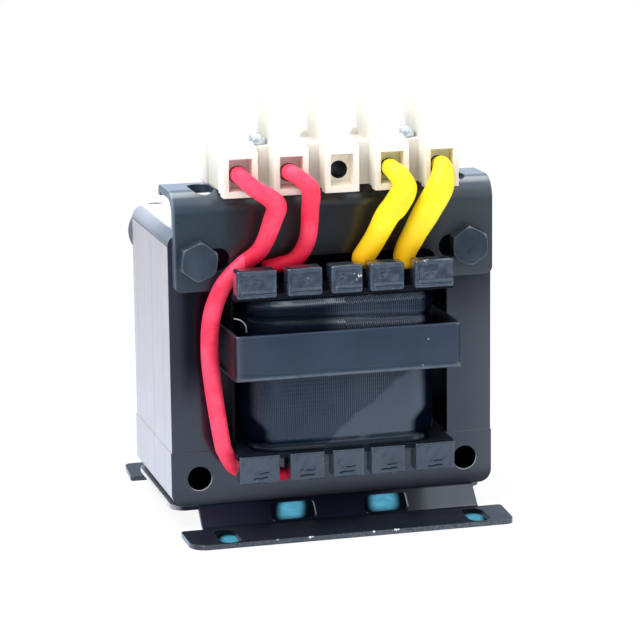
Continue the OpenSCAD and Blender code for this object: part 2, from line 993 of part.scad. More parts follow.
// far part of the long lead: step from the side of the strap, step back
// from the pole and share of the drop to the lower tabs
red_1_far = [
    [7.1, 2.4, 0.243],
    [3.1, 3.5, 0.301],
    [-0.4, 4, 0.369],
    [-2.4, 4.8, 0.468],
    [-2.8, 5.2, 0.587],
    [-2.2, 5.2, 0.707],
    [-1.3, 2.6, 0.871],
    [-0.6, 2.6, 0.911],
    [0.4, 2.8, 0.944],
    [1.7, 3, 0.967],
    [4.7, 3.2, 0.987],
    [11.8, 3.3, 1]];
red_2 = [
    [0, 2.5, 0],
    [-0.3, -0.6, 0.4],
    [1.7, -1.9, -1],
    [3.5, -2.4, -3],
    [4, 0, -7.2],
    [3.6, 2.6, -13.5],
    [1.4, 3.2, -17.2],
    [-1.6, 3.9, -18.3],
    [-4.9, 4.8, -19]];
yellow_1 = [
    [0, 2.2, 0],
    [-0.2, 0, 0.1],
    [1, -1.9, -1.4],
    [1.9, -2.2, -3.8],
    [0.7, -1.2, -7],
    [-0.6, -0.2, -9.2],
    [-3.1, 2, -14.2],
    [-5.8, 3.2, -19.1]];
yellow_2 = [
    [0, 2.2, 0],
    [0, 0, 0.3],
    [-0.2, -1.8, -0.9],
    [-0.3, -2.2, -4],
    [-1.7, -0.8, -8.5],
    [-4.7, 1.6, -13.5],
    [-6.9, 2.8, -17.5],
    [-6.7, 2.8, -20.3]];

function mouth(i) = [pole_x(i), strip_front, strip_z + wire_z];
function route(i, steps) = [for (v = steps) mouth(i) + lead_step * v];
function long_route() = concat(route(1, red_1),
    [for (v = red_1_far) [lead_step * v[0] - side_x,
        mouth(1)[1] + lead_step * v[1], mouth(1)[2] - v[2] * lead_drop]]);

// sleeve, bare end held in the clamp and coil wire at the far end
module lead(path, d, tail_z) {
    n = len(path) - 1;
    up = tail_z > path[n][2];
    sweep(smooth(path, 3), d);
    cyl_y(path[0][0], path[0][2], path[0][1] - 0.4,
        strip_front + wire_reach, wire_d);
    cyl_z(path[n][0] - (up ? 0.9 : 0), path[n][1],
        up ? path[n][2] : tail_z, up ? tail_z : path[n][2] + 0.2, 0.9);
}

module red_lead_1() {
    color("#e8273f")
        lead(long_route(), red_d, yoke_h + 0.05);
}

module red_lead_2() {
    color("#e8273f")
        lead(route(2, red_2), red_d, win_top - 0.05);
}

module yellow_lead_1() {
    color("#f5d800")
        lead(route(4, yellow_1), yellow_d, win_top - 0.05);
}

module yellow_lead_2() {
    color("#f5d800")
        lead(route(5, yellow_2), yellow_d, win_top - 0.05);
}

// ---------- the parts ----------

core_e_stack();
core_i_stack();
bobbin();
winding();
coil_wrap();
strap();
liner_left();
liner_right();
base();
top_bracket();
tabs_front_upper();
tabs_front_lower();
tabs_rear_upper();
tabs_rear_lower();
bolt_left();
bolt_right();
washer_left();
washer_right();
nut_left();
nut_right();
terminal_housing();
clamp_1();
clamp_2();
clamp_3();
clamp_4();
clamp_5();
clamp_screws_1();
clamp_screws_2();
clamp_screws_3();
clamp_screws_4();
clamp_screws_5();
strip_screw_left();
strip_screw_right();
red_lead_1();
red_lead_2();
yellow_lead_1();
yellow_lead_2();
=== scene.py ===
import json
import math
import random
import bmesh
import bpy
from mathutils import Matrix, Vector


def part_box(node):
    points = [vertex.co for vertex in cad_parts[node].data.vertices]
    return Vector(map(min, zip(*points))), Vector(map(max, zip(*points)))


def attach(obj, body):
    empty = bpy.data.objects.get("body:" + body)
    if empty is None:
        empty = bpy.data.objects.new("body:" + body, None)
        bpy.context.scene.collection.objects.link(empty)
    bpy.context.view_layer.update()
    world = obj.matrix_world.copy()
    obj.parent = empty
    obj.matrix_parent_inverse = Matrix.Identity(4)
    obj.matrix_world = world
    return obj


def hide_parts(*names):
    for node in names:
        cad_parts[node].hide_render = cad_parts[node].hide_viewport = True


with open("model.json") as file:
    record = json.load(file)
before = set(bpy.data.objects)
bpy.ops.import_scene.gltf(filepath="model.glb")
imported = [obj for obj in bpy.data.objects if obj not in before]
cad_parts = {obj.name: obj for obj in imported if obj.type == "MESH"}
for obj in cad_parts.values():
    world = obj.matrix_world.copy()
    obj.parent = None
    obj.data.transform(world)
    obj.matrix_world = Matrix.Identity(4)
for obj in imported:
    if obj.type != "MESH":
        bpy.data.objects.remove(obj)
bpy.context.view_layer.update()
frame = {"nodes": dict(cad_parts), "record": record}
NODES = frame["nodes"]
MM = 0.001


def place(name, data):
    """New object in the scene."""
    ob = bpy.data.objects.new(name, data)
    bpy.context.scene.collection.objects.link(ob)
    return ob


# ---------------------------------------------------------------- camera
def make_camera():
    """At the front, a little to the left and above, with a long lens."""
    yaw, pitch, roll = (math.radians(a) for a in (-14.9, 12.14, -0.675))
    target, distance = Vector((2.138, 0, 36.874)) * MM, 576.05
    back = Vector((math.sin(yaw) * math.cos(pitch), -math.cos(yaw) * math.cos(pitch),
                   math.sin(pitch)))
    right = Vector((math.cos(yaw), math.sin(yaw), 0))
    up = right.cross(-back)
    columns = (right * math.cos(roll) + up * math.sin(roll),
               up * math.cos(roll) - right * math.sin(roll),
               back, target + back * distance * MM)
    m = Matrix.Identity(4)
    for i, v in enumerate(columns):
        for k in range(3):
            m[k][i] = v[k]
    cam = bpy.data.cameras.new("camera")
    cam.lens, cam.sensor_width, cam.clip_start = 158.38, 36, 0.01
    ob = place("camera", cam)
    ob.matrix_world = m
    bpy.context.scene.camera = ob


make_camera()


# ---------------------------------------------------------------- node helpers
class Nodes:
    """Short names for the shader nodes of one material or world."""

    def __init__(self, owner, coords="Object"):
        owner.use_nodes = True
        self.t = owner.node_tree
        self.t.nodes.clear()
        self.pos = self.n("TexCoord", out=coords)

    def put(self, sock, val):
        if isinstance(val, bpy.types.NodeSocket):
            self.t.links.new(val, sock)
        elif val is not None:
            sock.default_value = val

    def n(self, kind, ins=(), out=0, **props):
        nd = self.t.nodes.new("ShaderNode" + kind)
        for k, v in props.items():
            setattr(nd, k, v)
        for k, v in dict(ins).items():
            self.put(nd.inputs[k], v)
        return nd.outputs[out]

    def finish(self, kind, shader):
        self.put(self.t.nodes.new("ShaderNode" + kind).inputs[0], shader)

    # arithmetic on one or more values
    def math(self, op, a, *more):
        if not more:
            return self.n("Math", {0: a}, operation=op)
        for b in more:
            a = self.n("Math", {0: a, 1: b}, operation=op)
        return a

    def add(self, a, b):
        return self.math("ADD", a, b)

    def sub(self, a, b):
        return self.math("SUBTRACT", a, b)

    def mul(self, *values):
        return self.math("MULTIPLY", *values)

    def div(self, a, b):
        return self.math("DIVIDE", a, b)

    def min(self, *values):
        return self.math("MINIMUM", *values)

    def max(self, *values):
        return self.math("MAXIMUM", *values)

    def abs(self, a):
        return self.math("ABSOLUTE", a)

    def inv(self, a):
        return self.sub(1.0, a)

    # masks: 1 on the named side of a limit, 0 on the other
    def over(self, a, limit):
        return self.math("GREATER_THAN", a, limit)

    def under(self, a, limit):
        return self.math("LESS_THAN", a, limit)

    def above(self, a, mm):
        return self.over(a, mm * MM)

    def below(self, a, mm):
        return self.under(a, mm * MM)

    # c to d while the value goes from a to b, straight or soft; fade takes a and b in mm
    def map(self, v, a, b, c=0.0, d=1.0, **props):
        return self.n("MapRange", {0: v, 1: a, 2: b, 3: c, 4: d}, **props)

    def smooth(self, v, a, b, c=0.0, d=1.0):
        return self.map(v, a, b, c, d, interpolation_type="SMOOTHSTEP")

    def fade(self, v, a, b, c=0.0, d=1.0):
        return self.smooth(v, a * MM, b * MM, c, d)

    # vectors
    def vmath(self, op, a, b=(0, 0, 0)):
        second, out = ("Scale", 0) if op == "SCALE" else (1, "Value")
        return self.n("VectorMath", {0: a, second: b}, out, operation=op)

    def xyz(self, v=None):
        nd = self.t.nodes.new("ShaderNodeSeparateXYZ")
        self.put(nd.inputs[0], v or self.pos)
        return nd.outputs

    def comb(self, x, y, z):
        return self.n("CombineXYZ", {0: x, 1: y, 2: z})

    def normal(self):
        return self.xyz(self.n("NewGeometry", out=1))

    def facing(self, axis):
        """How far the face looks along an axis, either way."""
        return self.abs(self.normal()[axis])

    # textures and colours
    def noise(self, size_mm, detail=2.0, rough=0.5, along=None):
        """Noise with grains of the given size, or in layers along one coordinate."""
        ins = {"Scale": 1 / (size_mm * MM), "Detail": detail, "Roughness": rough}
        if along is None:
            return self.n("TexNoise", {**ins, "Vector": self.pos})
        return self.n("TexNoise", {**ins, "W": along}, noise_dimensions="1D")

    def mix(self, f, a, b):
        a, b = ((*v, 1) if isinstance(v, tuple) else v for v in (a, b))
        return self.n("Mix", {0: f, 6: a, 7: b}, out=2, data_type="RGBA")

    # shaders
    def ray(self, kind):
        return self.n("LightPath", out=f"Is {kind} Ray")

    def blend(self, f, a, b):
        return self.n("MixShader", {0: f, 1: a, 2: b})


class Mat(Nodes):
    """Principled material of the part."""

    def __init__(self, name):
        self.m = bpy.data.materials.new(name)
        super().__init__(self.m)
        self.b = self.t.nodes.new("ShaderNodeBsdfPrincipled")
        self.finish("OutputMaterial", self.b.outputs[0])

    def set(self, **kw):
        for k, v in kw.items():
            self.put(self.b.inputs[k.replace("_", " ").title().replace("Ior", "IOR")], v)

    def bevel(self, r_mm):
        return self.n("Bevel", {"Radius": r_mm * MM}, samples=4)

    def edge(self, r_mm):
        """1 on sharp edges, 0 on flat faces."""
        d = self.vmath("DOT_PRODUCT", self.bevel(r_mm), self.n("NewGeometry", out=1))
        return self.map(d, 0.995, 0.86)

    def bump(self, h, dist_mm, strength=1.0, normal=None):
        return self.n("Bump", {"Height": h, "Distance": dist_mm * MM, "Strength": strength,
                               "Normal": normal})


# ---------------------------------------------------------------- materials
# places on the part that the looks follow, in mm; MIDDLE parts what is low from what is high
MIDDLE = 30
FOOT_TOP, WEB_TOP, PLATE_TOP = 1.02, 4.7, 4.8
FOOT_EDGE_Y = 31.9
SLOT_X, SLOT_Y, SLOT_STRAIGHT, SLOT_R = (-24.4, 26.6), 27.45, 2.35, 2.3
CORE_MID, CORE_END, CORE_TOP, CORE_FOOT = 32.3, 32.2, 58.6, 6.4
HOLE_X, HOLE_RISE, HOLE_R = 27.5, 22.0, 2.48
YOKE_JOINT, SHEET_STEP = 15.8, 0.5
BRACKET_X = 0.4
pole_lo, pole_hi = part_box("clamp_3")
POLE_X = (pole_lo.x + pole_hi.x) / 2 / MM
POLE_Z = (pole_lo.z + pole_hi.z) / 2 / MM
POLE_PITCH = (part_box("clamp_4")[0].x - pole_lo.x) / MM
# painted glints on the tabs and the strap, and bright spots on the foot edge: place and radius
TAB_GLINTS = [(1.4, -28.3, 52.0, 0.5), (2.7, -28.3, 51.4, 0.5), (2.2, -28.3, 50.6, 0.35),
             (16.2, -27.9, 53.5, 0.6)]
STRAP_GLINTS = [(16.4, -28.9, 38.0, 0.22), (15.3, -28.9, 32.9, 0.22),
                (-3.5, -28.9, 36.2, 0.16), (7.5, -28.9, 39.2, 0.15)]
FOOT_BRIGHT_SPOTS = [(-15.6, -32.5, 0.9, 0.24), (-9.0, -32.5, 0.9, 0.34), (-8.5, -32.5, 1.0, 0.25),
              (4.0, -32.5, 0.9, 0.30), (8.4, -32.5, 0.85, 0.36), (9.0, -32.5, 0.95, 0.28)]


def times(col, k):
    return tuple(v * k for v in col)


def spots(M, places):
    """1 inside small round places, 0 elsewhere."""
    return M.max(*(M.map(M.vmath("DISTANCE", M.pos, times(q[:3], MM)),
                         0.65 * q[3] * MM, q[3] * MM, 1.0, 0.0) for q in places))


def film(M, col, blotch, rough, edge_r):
    """Colour, roughness and normal of a dipped varnish film, and its fine noise."""
    slow, fine = M.noise(9, 3, 0.6), M.noise(1.3, 3, 0.55)
    c = M.mix(M.map(slow, 0.3, 0.7), times(col, 1 - blotch), times(col, 1 + blotch))
    r = M.add(M.map(slow, 0.25, 0.75, rough - 0.04, rough + 0.06),
              M.map(fine, 0.3, 0.7, -0.02, 0.03))
    h = M.add(M.mul(fine, 0.30), M.noise(4.5, 2, 0.5))
    return c, r, M.bump(h, 0.10, 0.10, M.bevel(edge_r)), fine


# sharp edges: thin varnish, lightened as a painted highlight
def worn_and_lit_edges(M, edge_r, low, high):
    return M.mul(M.edge(edge_r), M.map(M.noise(2.2, 3, 0.6), 0.35, 0.7, low, high))


def varnish(name, col, rough, edge_light, edge_col=(0.10, 0.12, 0.15), edge_r=0.22, blotch=0.3,
            spec=0.5, coat=1.0, coat_rough=0.12, bright_spots=(), relief=False):
    """Dipped blue-black varnish: glossy, slightly uneven, thinner on the edges and lighter there
    by a painted highlight.
    """
    M = Mat(name)
    c, r, nor, fine = film(M, col, blotch, rough, edge_r)
    c = M.mix(worn_and_lit_edges(M, edge_r, edge_light * 0.4, edge_light), c, edge_col)
    if relief:
        # upper tabs mottled; dark marks, with painted shade in the grooves; painted shade, dull,
        # on the tops of the lower tabs and, less so, of the tabs on the upper left
        x, _, z = M.xyz()
        mark = M.map(M.n("Attribute", out=2, attribute_name="relief"), -0.04, -0.18)
        streak = M.mix(M.map(fine, 0.38, 0.62), times(col, 1.15), times(col, 1.7))
        c = M.mix(M.above(z, MIDDLE), c, streak)
        c = M.mix(mark, c, (0.002, 0.003, 0.007))
        dull = M.max(M.below(z, MIDDLE), M.fade(x, -6, -10, 0.3, 0.7))
        dull = M.mul(M.smooth(M.normal()[2], 0.55, 0.85), dull)
        c = M.mix(dull, c, (0.003, 0.005, 0.010))
        dull = M.max(dull, mark)
        spec, coat = M.map(dull, 0, 1, spec, 0.1), M.map(dull, 0, 1, coat, 0.1)
    if bright_spots:
        # painted glints at the given places, broken up by noise
        crumbs = M.map(M.noise(0.55, 3, 0.7), 0.50, 0.56)
        c = M.mix(M.mul(spots(M, bright_spots), crumbs), c, (0.88, 0.90, 0.93))
    M.set(base_color=c, roughness=r, normal=nor, specular_ior_level=spec, coat_weight=coat,
          coat_roughness=coat_rough, coat_normal=nor)
    return M.m


def foot_cuts(M):
    """Cut edges of the foot sheet, where the varnish runs thin."""
    x, y, z = M.xyz()
    front = M.mul(M.over(M.facing(1), 0.85), M.above(M.abs(y), FOOT_EDGE_Y))
    ends = M.mul(M.over(M.facing(0), 0.85), M.above(M.abs(x), 25))
    return M.mul(M.below(z, PLATE_TOP - 0.05), M.max(front, ends))


def bent_sheet(name, col, bright_spots):
    """Varnish of the bent sheets: the bracket above, the feet with their webs below."""
    M = Mat(name)
    x, y, z = M.xyz()
    nx, _, nz = M.normal()
    c, r, nor, _ = film(M, col, 0.25, 0.30, 0.22)
    # painted reflection and shade: the ends of the skirt are paler, its middle a warm black,
    # darker towards the bottom
    high = M.above(z, MIDDLE)
    shaded_middle_col = M.mix(M.fade(z, 52, 60), (0.004, 0.0042, 0.0045), (0.013, 0.0145, 0.017))
    c = M.mix(high, c, shaded_middle_col)
    ends = M.fade(M.abs(M.sub(x, BRACKET_X * MM)), 18.5, 24)
    end_reflection_col = M.mix(M.over(x, 0.0), (0.018, 0.034, 0.050), (0.036, 0.047, 0.057))
    c = M.mix(M.mul(ends, high), c, end_reflection_col)
    # thin varnish and painted highlight on the edges, strongest along the left edge of the skirt
    worn_and_lit = worn_and_lit_edges(M, 0.22, 0.2, 0.6)
    worn_and_lit = M.max(worn_and_lit, M.mul(M.fade(x, -31.5, -31.9), high, 0.75))
    # webs of the feet: dark, almost without mirror on the left, painted paler to the right as a
    # reflection
    web = M.mul(M.below(z, WEB_TOP), M.above(z, FOOT_TOP), M.below(M.abs(y), 23))
    web_reflection_col = M.mix(M.fade(x, 6, 15), (0.0085, 0.0100, 0.0205), (0.040, 0.042, 0.049))
    c = M.mix(web, c, web_reflection_col)
    worn_and_lit = M.mul(worn_and_lit, M.inv(web))
    # foot tops: dull and speckled
    top = M.mul(M.below(z, FOOT_TOP), M.over(nz, 0.7))
    fleck = M.map(M.noise(0.5, 3, 0.7), 0.56, 0.66)
    c = M.mix(M.mul(top, fleck), c, (0.030, 0.042, 0.055))
    # edges: thin varnish and painted highlight
    c = M.mix(worn_and_lit, c, (0.115, 0.150, 0.190))
    # cut edges where the varnish runs thin, painted paler to the right as a reflection, with
    # bright crumbs
    cut_and_sheen_col = M.mix(M.fade(x, -16, 16), (0.025, 0.029, 0.037), (0.044, 0.048, 0.059))
    grain = M.map(M.noise(0.45, 3, 0.7), 0.42, 0.62, 0.4, 1.6)
    c = M.mix(foot_cuts(M), c, M.vmath("SCALE", cut_and_sheen_col, grain))
    # walls of the fixing slots and of the windows: painted shade, near black
    sx = M.min(*(M.abs(M.sub(x, at * MM)) for at in SLOT_X))
    sy = M.sub(M.abs(M.sub(M.abs(y), SLOT_Y * MM)), SLOT_STRAIGHT * MM)
    slot = M.below(M.vmath("LENGTH", M.comb(sx, M.max(sy, 0.0), 0.0)), SLOT_R)
    slot = M.mul(slot, M.below(z, FOOT_TOP), M.under(M.abs(nz), 0.5))
    dark = M.max(slot, M.mul(web, M.over(M.abs(nz), 0.9)))
    c = M.mix(dark, c, (0.002, 0.004, 0.008))
    # bright spots at the given places on the foot edge, broken up by noise
    crumbs = M.map(M.noise(0.4, 3, 0.7), 0.40, 0.50)
    c = M.mix(M.mul(spots(M, bright_spots), crumbs), c, (0.80, 0.82, 0.85))
    # pressed left end of the top plate, ground bright like the sheet edges beside it
    tip = M.mul(M.below(x, -30.2), M.above(z, 3.5), M.below(z, PLATE_TOP + 0.05))
    tip_col = M.mix(M.fade(y, -16.5, -12), (0.20, 0.21, 0.23), (0.62, 0.61, 0.63))
    c = M.mix(M.mul(tip, M.smooth(nx, -0.25, -0.75)), c, tip_col)
    # how far the mirror is taken away
    jamb = M.mul(web, M.over(M.abs(nx), 0.6))
    quiet = M.max(M.mul(web, M.fade(x, 17, 12), 0.9), dark, M.mul(top, 0.75),
                  M.mul(jamb, 0.65))
    M.set(base_color=c, roughness=M.add(r, M.mul(top, 0.22)), normal=nor,
          specular_ior_level=M.map(quiet, 0, 1, 0.5, 0.05),
          coat_weight=M.map(quiet, 0, 1, 1.0, 0.0), coat_roughness=0.20, coat_normal=nor)
    return M.m


def sheet_edges(M):
    """Ground edges of the core's sheets: their colour, the gaps and the tone of each sheet."""
    y, z = M.xyz()[1:3]
    gx, _, gz = M.normal()
    count = M.mul(y, 1 / (SHEET_STEP * MM))
    tone = M.n("TexWhiteNoise", {"W": M.math("FLOOR", count)}, noise_dimensions="1D")
    gap = M.under(M.abs(M.sub(M.math("FRACT", count), 0.5)), 0.42)
    drift = M.map(M.noise(2.4, 2, 0.6, along=y), 0.3, 0.7, -0.025, 0.025)
    v = M.add(M.map(tone, 0, 1, -0.028, 0.028), drift)
    # painted light: the top paler than the sides
    v = M.add(v, M.map(M.over(gz, 0.7), 0, 1, 0.65, 0.86))
    v = M.mul(v, M.map(gap, 0, 1, 0.95, 1.0), M.map(M.noise(8, 3, 0.6), 0.3, 0.7, 0.97, 1.03))
    # thin dark joint between the yoke and the limbs
    joint = M.abs(M.sub(z, YOKE_JOINT * MM))
    v = M.mul(v, M.map(joint, 0.05 * MM, 0.25 * MM, 0.72, 1.0))
    c = M.n("HueSaturation", {"Color": (1.0, 0.960, 0.985, 1), "Value": v})
    # rounded top corners: painted shade, greyer and darker towards the front, with a thin dark
    # line where the side begins
    turn = M.mul(M.smooth(gz, 0.06, 0.20), M.smooth(M.abs(gx), 0.12, 0.30), M.above(z, 57.0))
    c = M.mix(turn, c, M.mix(M.fade(y, -14, 8), (0.20, 0.235, 0.265), (0.40, 0.43, 0.48)))
    crease = M.map(M.abs(M.sub(z, 57.35 * MM)), 0.08 * MM, 0.22 * MM, 0.8, 0.0)
    c = M.mix(M.mul(crease, M.over(M.abs(gx), 0.5)), c, (0.10, 0.11, 0.14))
    return c, gap, tone


def lamination(name, col):
    """Varnished faces with bare, ground sheet edges on the ends and the top."""
    M = Mat(name)
    x, _, z = M.xyz()
    front = M.map(M.facing(1), 0.6, 0.8)
    # only the outer skin is bare: ends, top and underside
    skin = M.max(M.above(M.abs(x), CORE_END), M.above(z, CORE_TOP), M.below(z, CORE_FOOT))
    bare = M.mul(skin, M.inv(front))
    dark = M.mix(M.map(M.noise(12, 3, 0.6), 0.3, 0.7), times(col, 0.8), times(col, 1.25))
    # painted reflection: the front paler towards its right end
    dark = M.mix(M.fade(x, 26, 33), dark, (0.026, 0.028, 0.038))
    # painted shade: darker and duller beside the left end of the coil, along the foot of the
    # bottom yoke, in the window
    dull = M.mul(M.fade(M.abs(M.add(x, 27.6 * MM)), 4.2, 1.4), M.fade(z, 23, 35))
    foot_shade = M.mul(M.fade(z, 9.0, 5.2), M.fade(x, -30, 2, 0.1, 0.75))
    window_shade = M.mul(M.below(M.abs(x), 24.3), M.over(M.facing(0), 0.7))
    # and painted shade behind the bracket
    behind = M.mul(M.above(z, 48.3), M.below(M.abs(x), 31.4))
    dull = M.max(M.mul(M.max(dull, foot_shade, window_shade), 0.85), behind)
    dark = M.mix(dull, dark, (0.003, 0.0015, 0.0055))
    # painted highlight on the edges, none behind the bracket
    edge_highlight = M.mul(M.edge(0.25), M.map(behind, 0, 1, 0.35, 0.0))
    dark = M.mix(edge_highlight, dark, (0.12, 0.13, 0.16))
    edges, gap, tone = sheet_edges(M)
    c = M.mix(bare, dark, edges)
    # inside of the four holes in painted shade, near black, with a painted highlight on a thin
    # rim below
    hx = M.sub(M.abs(x), HOLE_X * MM)
    hz = M.sub(M.abs(M.sub(z, CORE_MID * MM)), HOLE_RISE * MM)
    hr = M.vmath("LENGTH", M.comb(hx, 0.0, hz))
    hole_shade = M.mul(M.below(hr, 2.7), M.inv(front))
    c = M.mix(hole_shade, c, (0.0008, 0.001, 0.002))
    below = M.add(M.mul(M.sub(x, M.mul(M.math("SIGN", x), HOLE_X * MM)), 0.5),
                  M.mul(M.sub(z, (CORE_MID - HOLE_RISE) * MM), -1.0))
    lit = M.map(M.abs(M.sub(hr, HOLE_R * MM)), 0.05 * MM, 0.13 * MM, 1.0, 0.0)
    lit = M.mul(lit, front, M.fade(below, 0.3, 2.2), M.below(z, 20))
    c = M.mix(lit, c, (0.34, 0.36, 0.38))
    bare = M.mul(bare, M.inv(hole_shade))
    h = M.mul(M.add(M.mul(gap, 0.5), tone), bare)
    h = M.add(M.mul(h, 0.04), M.mul(M.noise(4, 3), 0.10))
    nor = M.bump(h, 0.2, 0.35, M.bevel(0.3))
    dull = M.mul(dull, M.inv(bare))
    gloss = M.mul(M.inv(M.max(bare, hole_shade)), M.map(dull, 0, 1, 1.0, 0.15))
    M.set(base_color=c, metallic=M.mul(bare, 0.55), roughness=M.map(bare, 0, 1, 0.17, 0.5),
          normal=nor, specular_ior_level=M.map(M.max(hole_shade, dull), 0, 1, 0.5, 0.0),
          coat_weight=gloss, coat_roughness=0.14, coat_normal=nor)
    return M.m


def strap_look(name):
    """Satin strap: a painted highlight paling the rolled lower lip, a painted red reflection
    where its left end turns away.
    """
    M = Mat(name)
    x, _, z = M.xyz()
    n = M.noise(9, 3, 0.6)
    c = M.mix(M.map(n, 0.3, 0.7), (0.0095, 0.022, 0.043), (0.0125, 0.029, 0.054))
    # painted highlight on the rolled lower lip
    lip = M.mul(M.fade(z, 32.75, 32.45), M.fade(z, 31.95, 32.15),
                M.map(M.noise(3, 2), 0.3, 0.6, 0.5, 1.0))
    c = M.mix(lip, c, (0.075, 0.095, 0.125))
    # painted reflection of the red lead: deep red where the left end turns away, purplish on the
    # front beside it
    end = M.smooth(M.normal()[0], -0.35, -0.8)
    c = M.mix(end, c, (0.014, 0.008, 0.014))
    c = M.mix(M.mul(M.fade(x, -20.4, -21.9), M.inv(end), 0.6), c, (0.055, 0.050, 0.075))
    # painted glints
    c = M.mix(spots(M, STRAP_GLINTS), c, (0.30, 0.33, 0.37))
    nor = M.bump(M.noise(3, 2), 0.03, 0.15, M.bevel(0.15))
    M.set(base_color=c, roughness=M.map(n, 0.3, 0.7, 0.32, 0.40), normal=nor,
          specular_ior_level=M.map(end, 0, 1, 0.5, 0.15),
          coat_weight=M.map(end, 0, 1, 0.5, 0.1), coat_roughness=0.25, coat_normal=nor)
    return M.m


def metal(name, col, rough, dull=0.0):
    """Plain metal; dull takes its metallic mirror away."""
    M = Mat(name)
    n = M.noise(0.8, 3, 0.6)
    c = M.mix(n, times(col, 0.8), tuple(min(1, v) for v in times(col, 1.15)))
    M.set(base_color=c, metallic=1.0 - dull,
          roughness=M.map(n, 0.3, 0.7, rough - 0.08, rough + 0.1),
          normal=M.bump(M.noise(0.35, 2), 0.03, 0.3, M.bevel(0.12)))
    return M.m


def wire_entries(M):
    """1 inside the wire entries of the five poles, and the way to the middle of the nearest."""
    x, y, z = M.xyz()
    k = M.div(M.sub(x, POLE_X * MM), POLE_PITCH * MM)
    dx = M.mul(M.sub(k, M.math("ROUND", k)), POLE_PITCH * MM)
    r = M.vmath("LENGTH", M.comb(dx, 0.0, M.sub(z, POLE_Z * MM)))
    return M.mul(M.below(r, 1.75), M.below(M.abs(M.add(y, 15 * MM)), 9.8)), dx


def nylon(name):
    """Housing of the strip with painted light and shade: nearly white above, warmer and darker
    below, tinted by a painted reflection of the leads in its recesses.
    """
    M = Mat(name)
    x, y, z = M.xyz()
    # painted light and shade: nearly white above, darker and warmer below
    low = M.mix(M.noise(3, 3, 0.6), (0.66, 0.62, 0.55), (0.72, 0.68, 0.62))
    c = M.mix(M.fade(z, 71, 79), low, (0.88, 0.86, 0.82))
    inside, dx = wire_entries(M)
    # painted light and shade: left end nearly white, sides towards the gaps and the recesses
    # shaded pale olive and beige
    flank = M.over(M.facing(0), 0.8)
    flank_shade_col = M.mix(M.fade(z, 67, 76), (0.70, 0.68, 0.58), (0.86, 0.84, 0.77))
    c = M.mix(flank, c, flank_shade_col)
    c = M.mix(M.mul(flank, M.below(x, -23.0)), c, (0.88, 0.85, 0.86))
    # recesses: a painted reflection of the leads, pinkish by the red ones, yellow by the yellow
    # ones, their sides shaded
    niche = M.mul(M.below(M.abs(dx), 2.36), M.below(z, 74.95), M.above(y, -24.9),
                  M.below(y, -20))
    lead_reflection_tint = M.mix(M.fade(x, -6, -2), (0.84, 0.74, 0.70), (0.84, 0.76, 0.64))
    lead_reflection_tint = M.mix(M.fade(x, 4, 8), lead_reflection_tint, (0.88, 0.85, 0.62))
    c = M.mix(niche, c, M.mix(flank, lead_reflection_tint, (0.84, 0.80, 0.72)))
    # painted shade: near black inside the wire entries, with a painted lit crescent on the right
    lit = M.mul(M.above(dx, 1.2), M.below(y, -22.6), M.below(z, POLE_Z + 0.4))
    c = M.mix(inside, c, M.mix(lit, (0.006, 0.004, 0.003), (0.22, 0.10, 0.03)))
    M.set(base_color=c, roughness=M.map(M.noise(1.2, 2), 0.3, 0.7, 0.36, 0.5),
          normal=M.bump(M.noise(0.9, 3), 0.04, 0.25, M.bevel(0.22)),
          specular_ior_level=M.map(inside, 0, 1, 0.5, 0.1),
          subsurface_weight=M.map(inside, 0, 1, 0.5, 0.0),
          subsurface_radius=(1.0, 0.75, 0.5), subsurface_scale=0.0015)
    return M.m


def sleeve(name, col, dark, sss, deep):
    """Soft sleeve with dull streaks, deeper in colour as painted shade where it tucks in behind
    the tabs.
    """
    M = Mat(name)
    x, _, z = M.xyz()
    c = M.mix(M.map(M.noise(4, 3, 0.55), 0.35, 0.62), dark, col)
    # painted shade where the sleeve tucks in behind the tabs
    tuck = M.mul(M.fade(z, 53, 61, 1.0, 0.0), M.above(x, -19))
    c = M.mix(M.mul(tuck, 0.92), c, deep)
    M.set(base_color=c, roughness=M.map(M.noise(2, 2), 0.3, 0.7, 0.42, 0.55),
          normal=M.bump(M.noise(1.6, 3, 0.6), 0.08, 0.25),
          specular_ior_level=M.map(tuck, 0, 1, 0.35, 0.14),
          subsurface_weight=0.25, subsurface_radius=sss, subsurface_scale=0.0006)
    return M.m


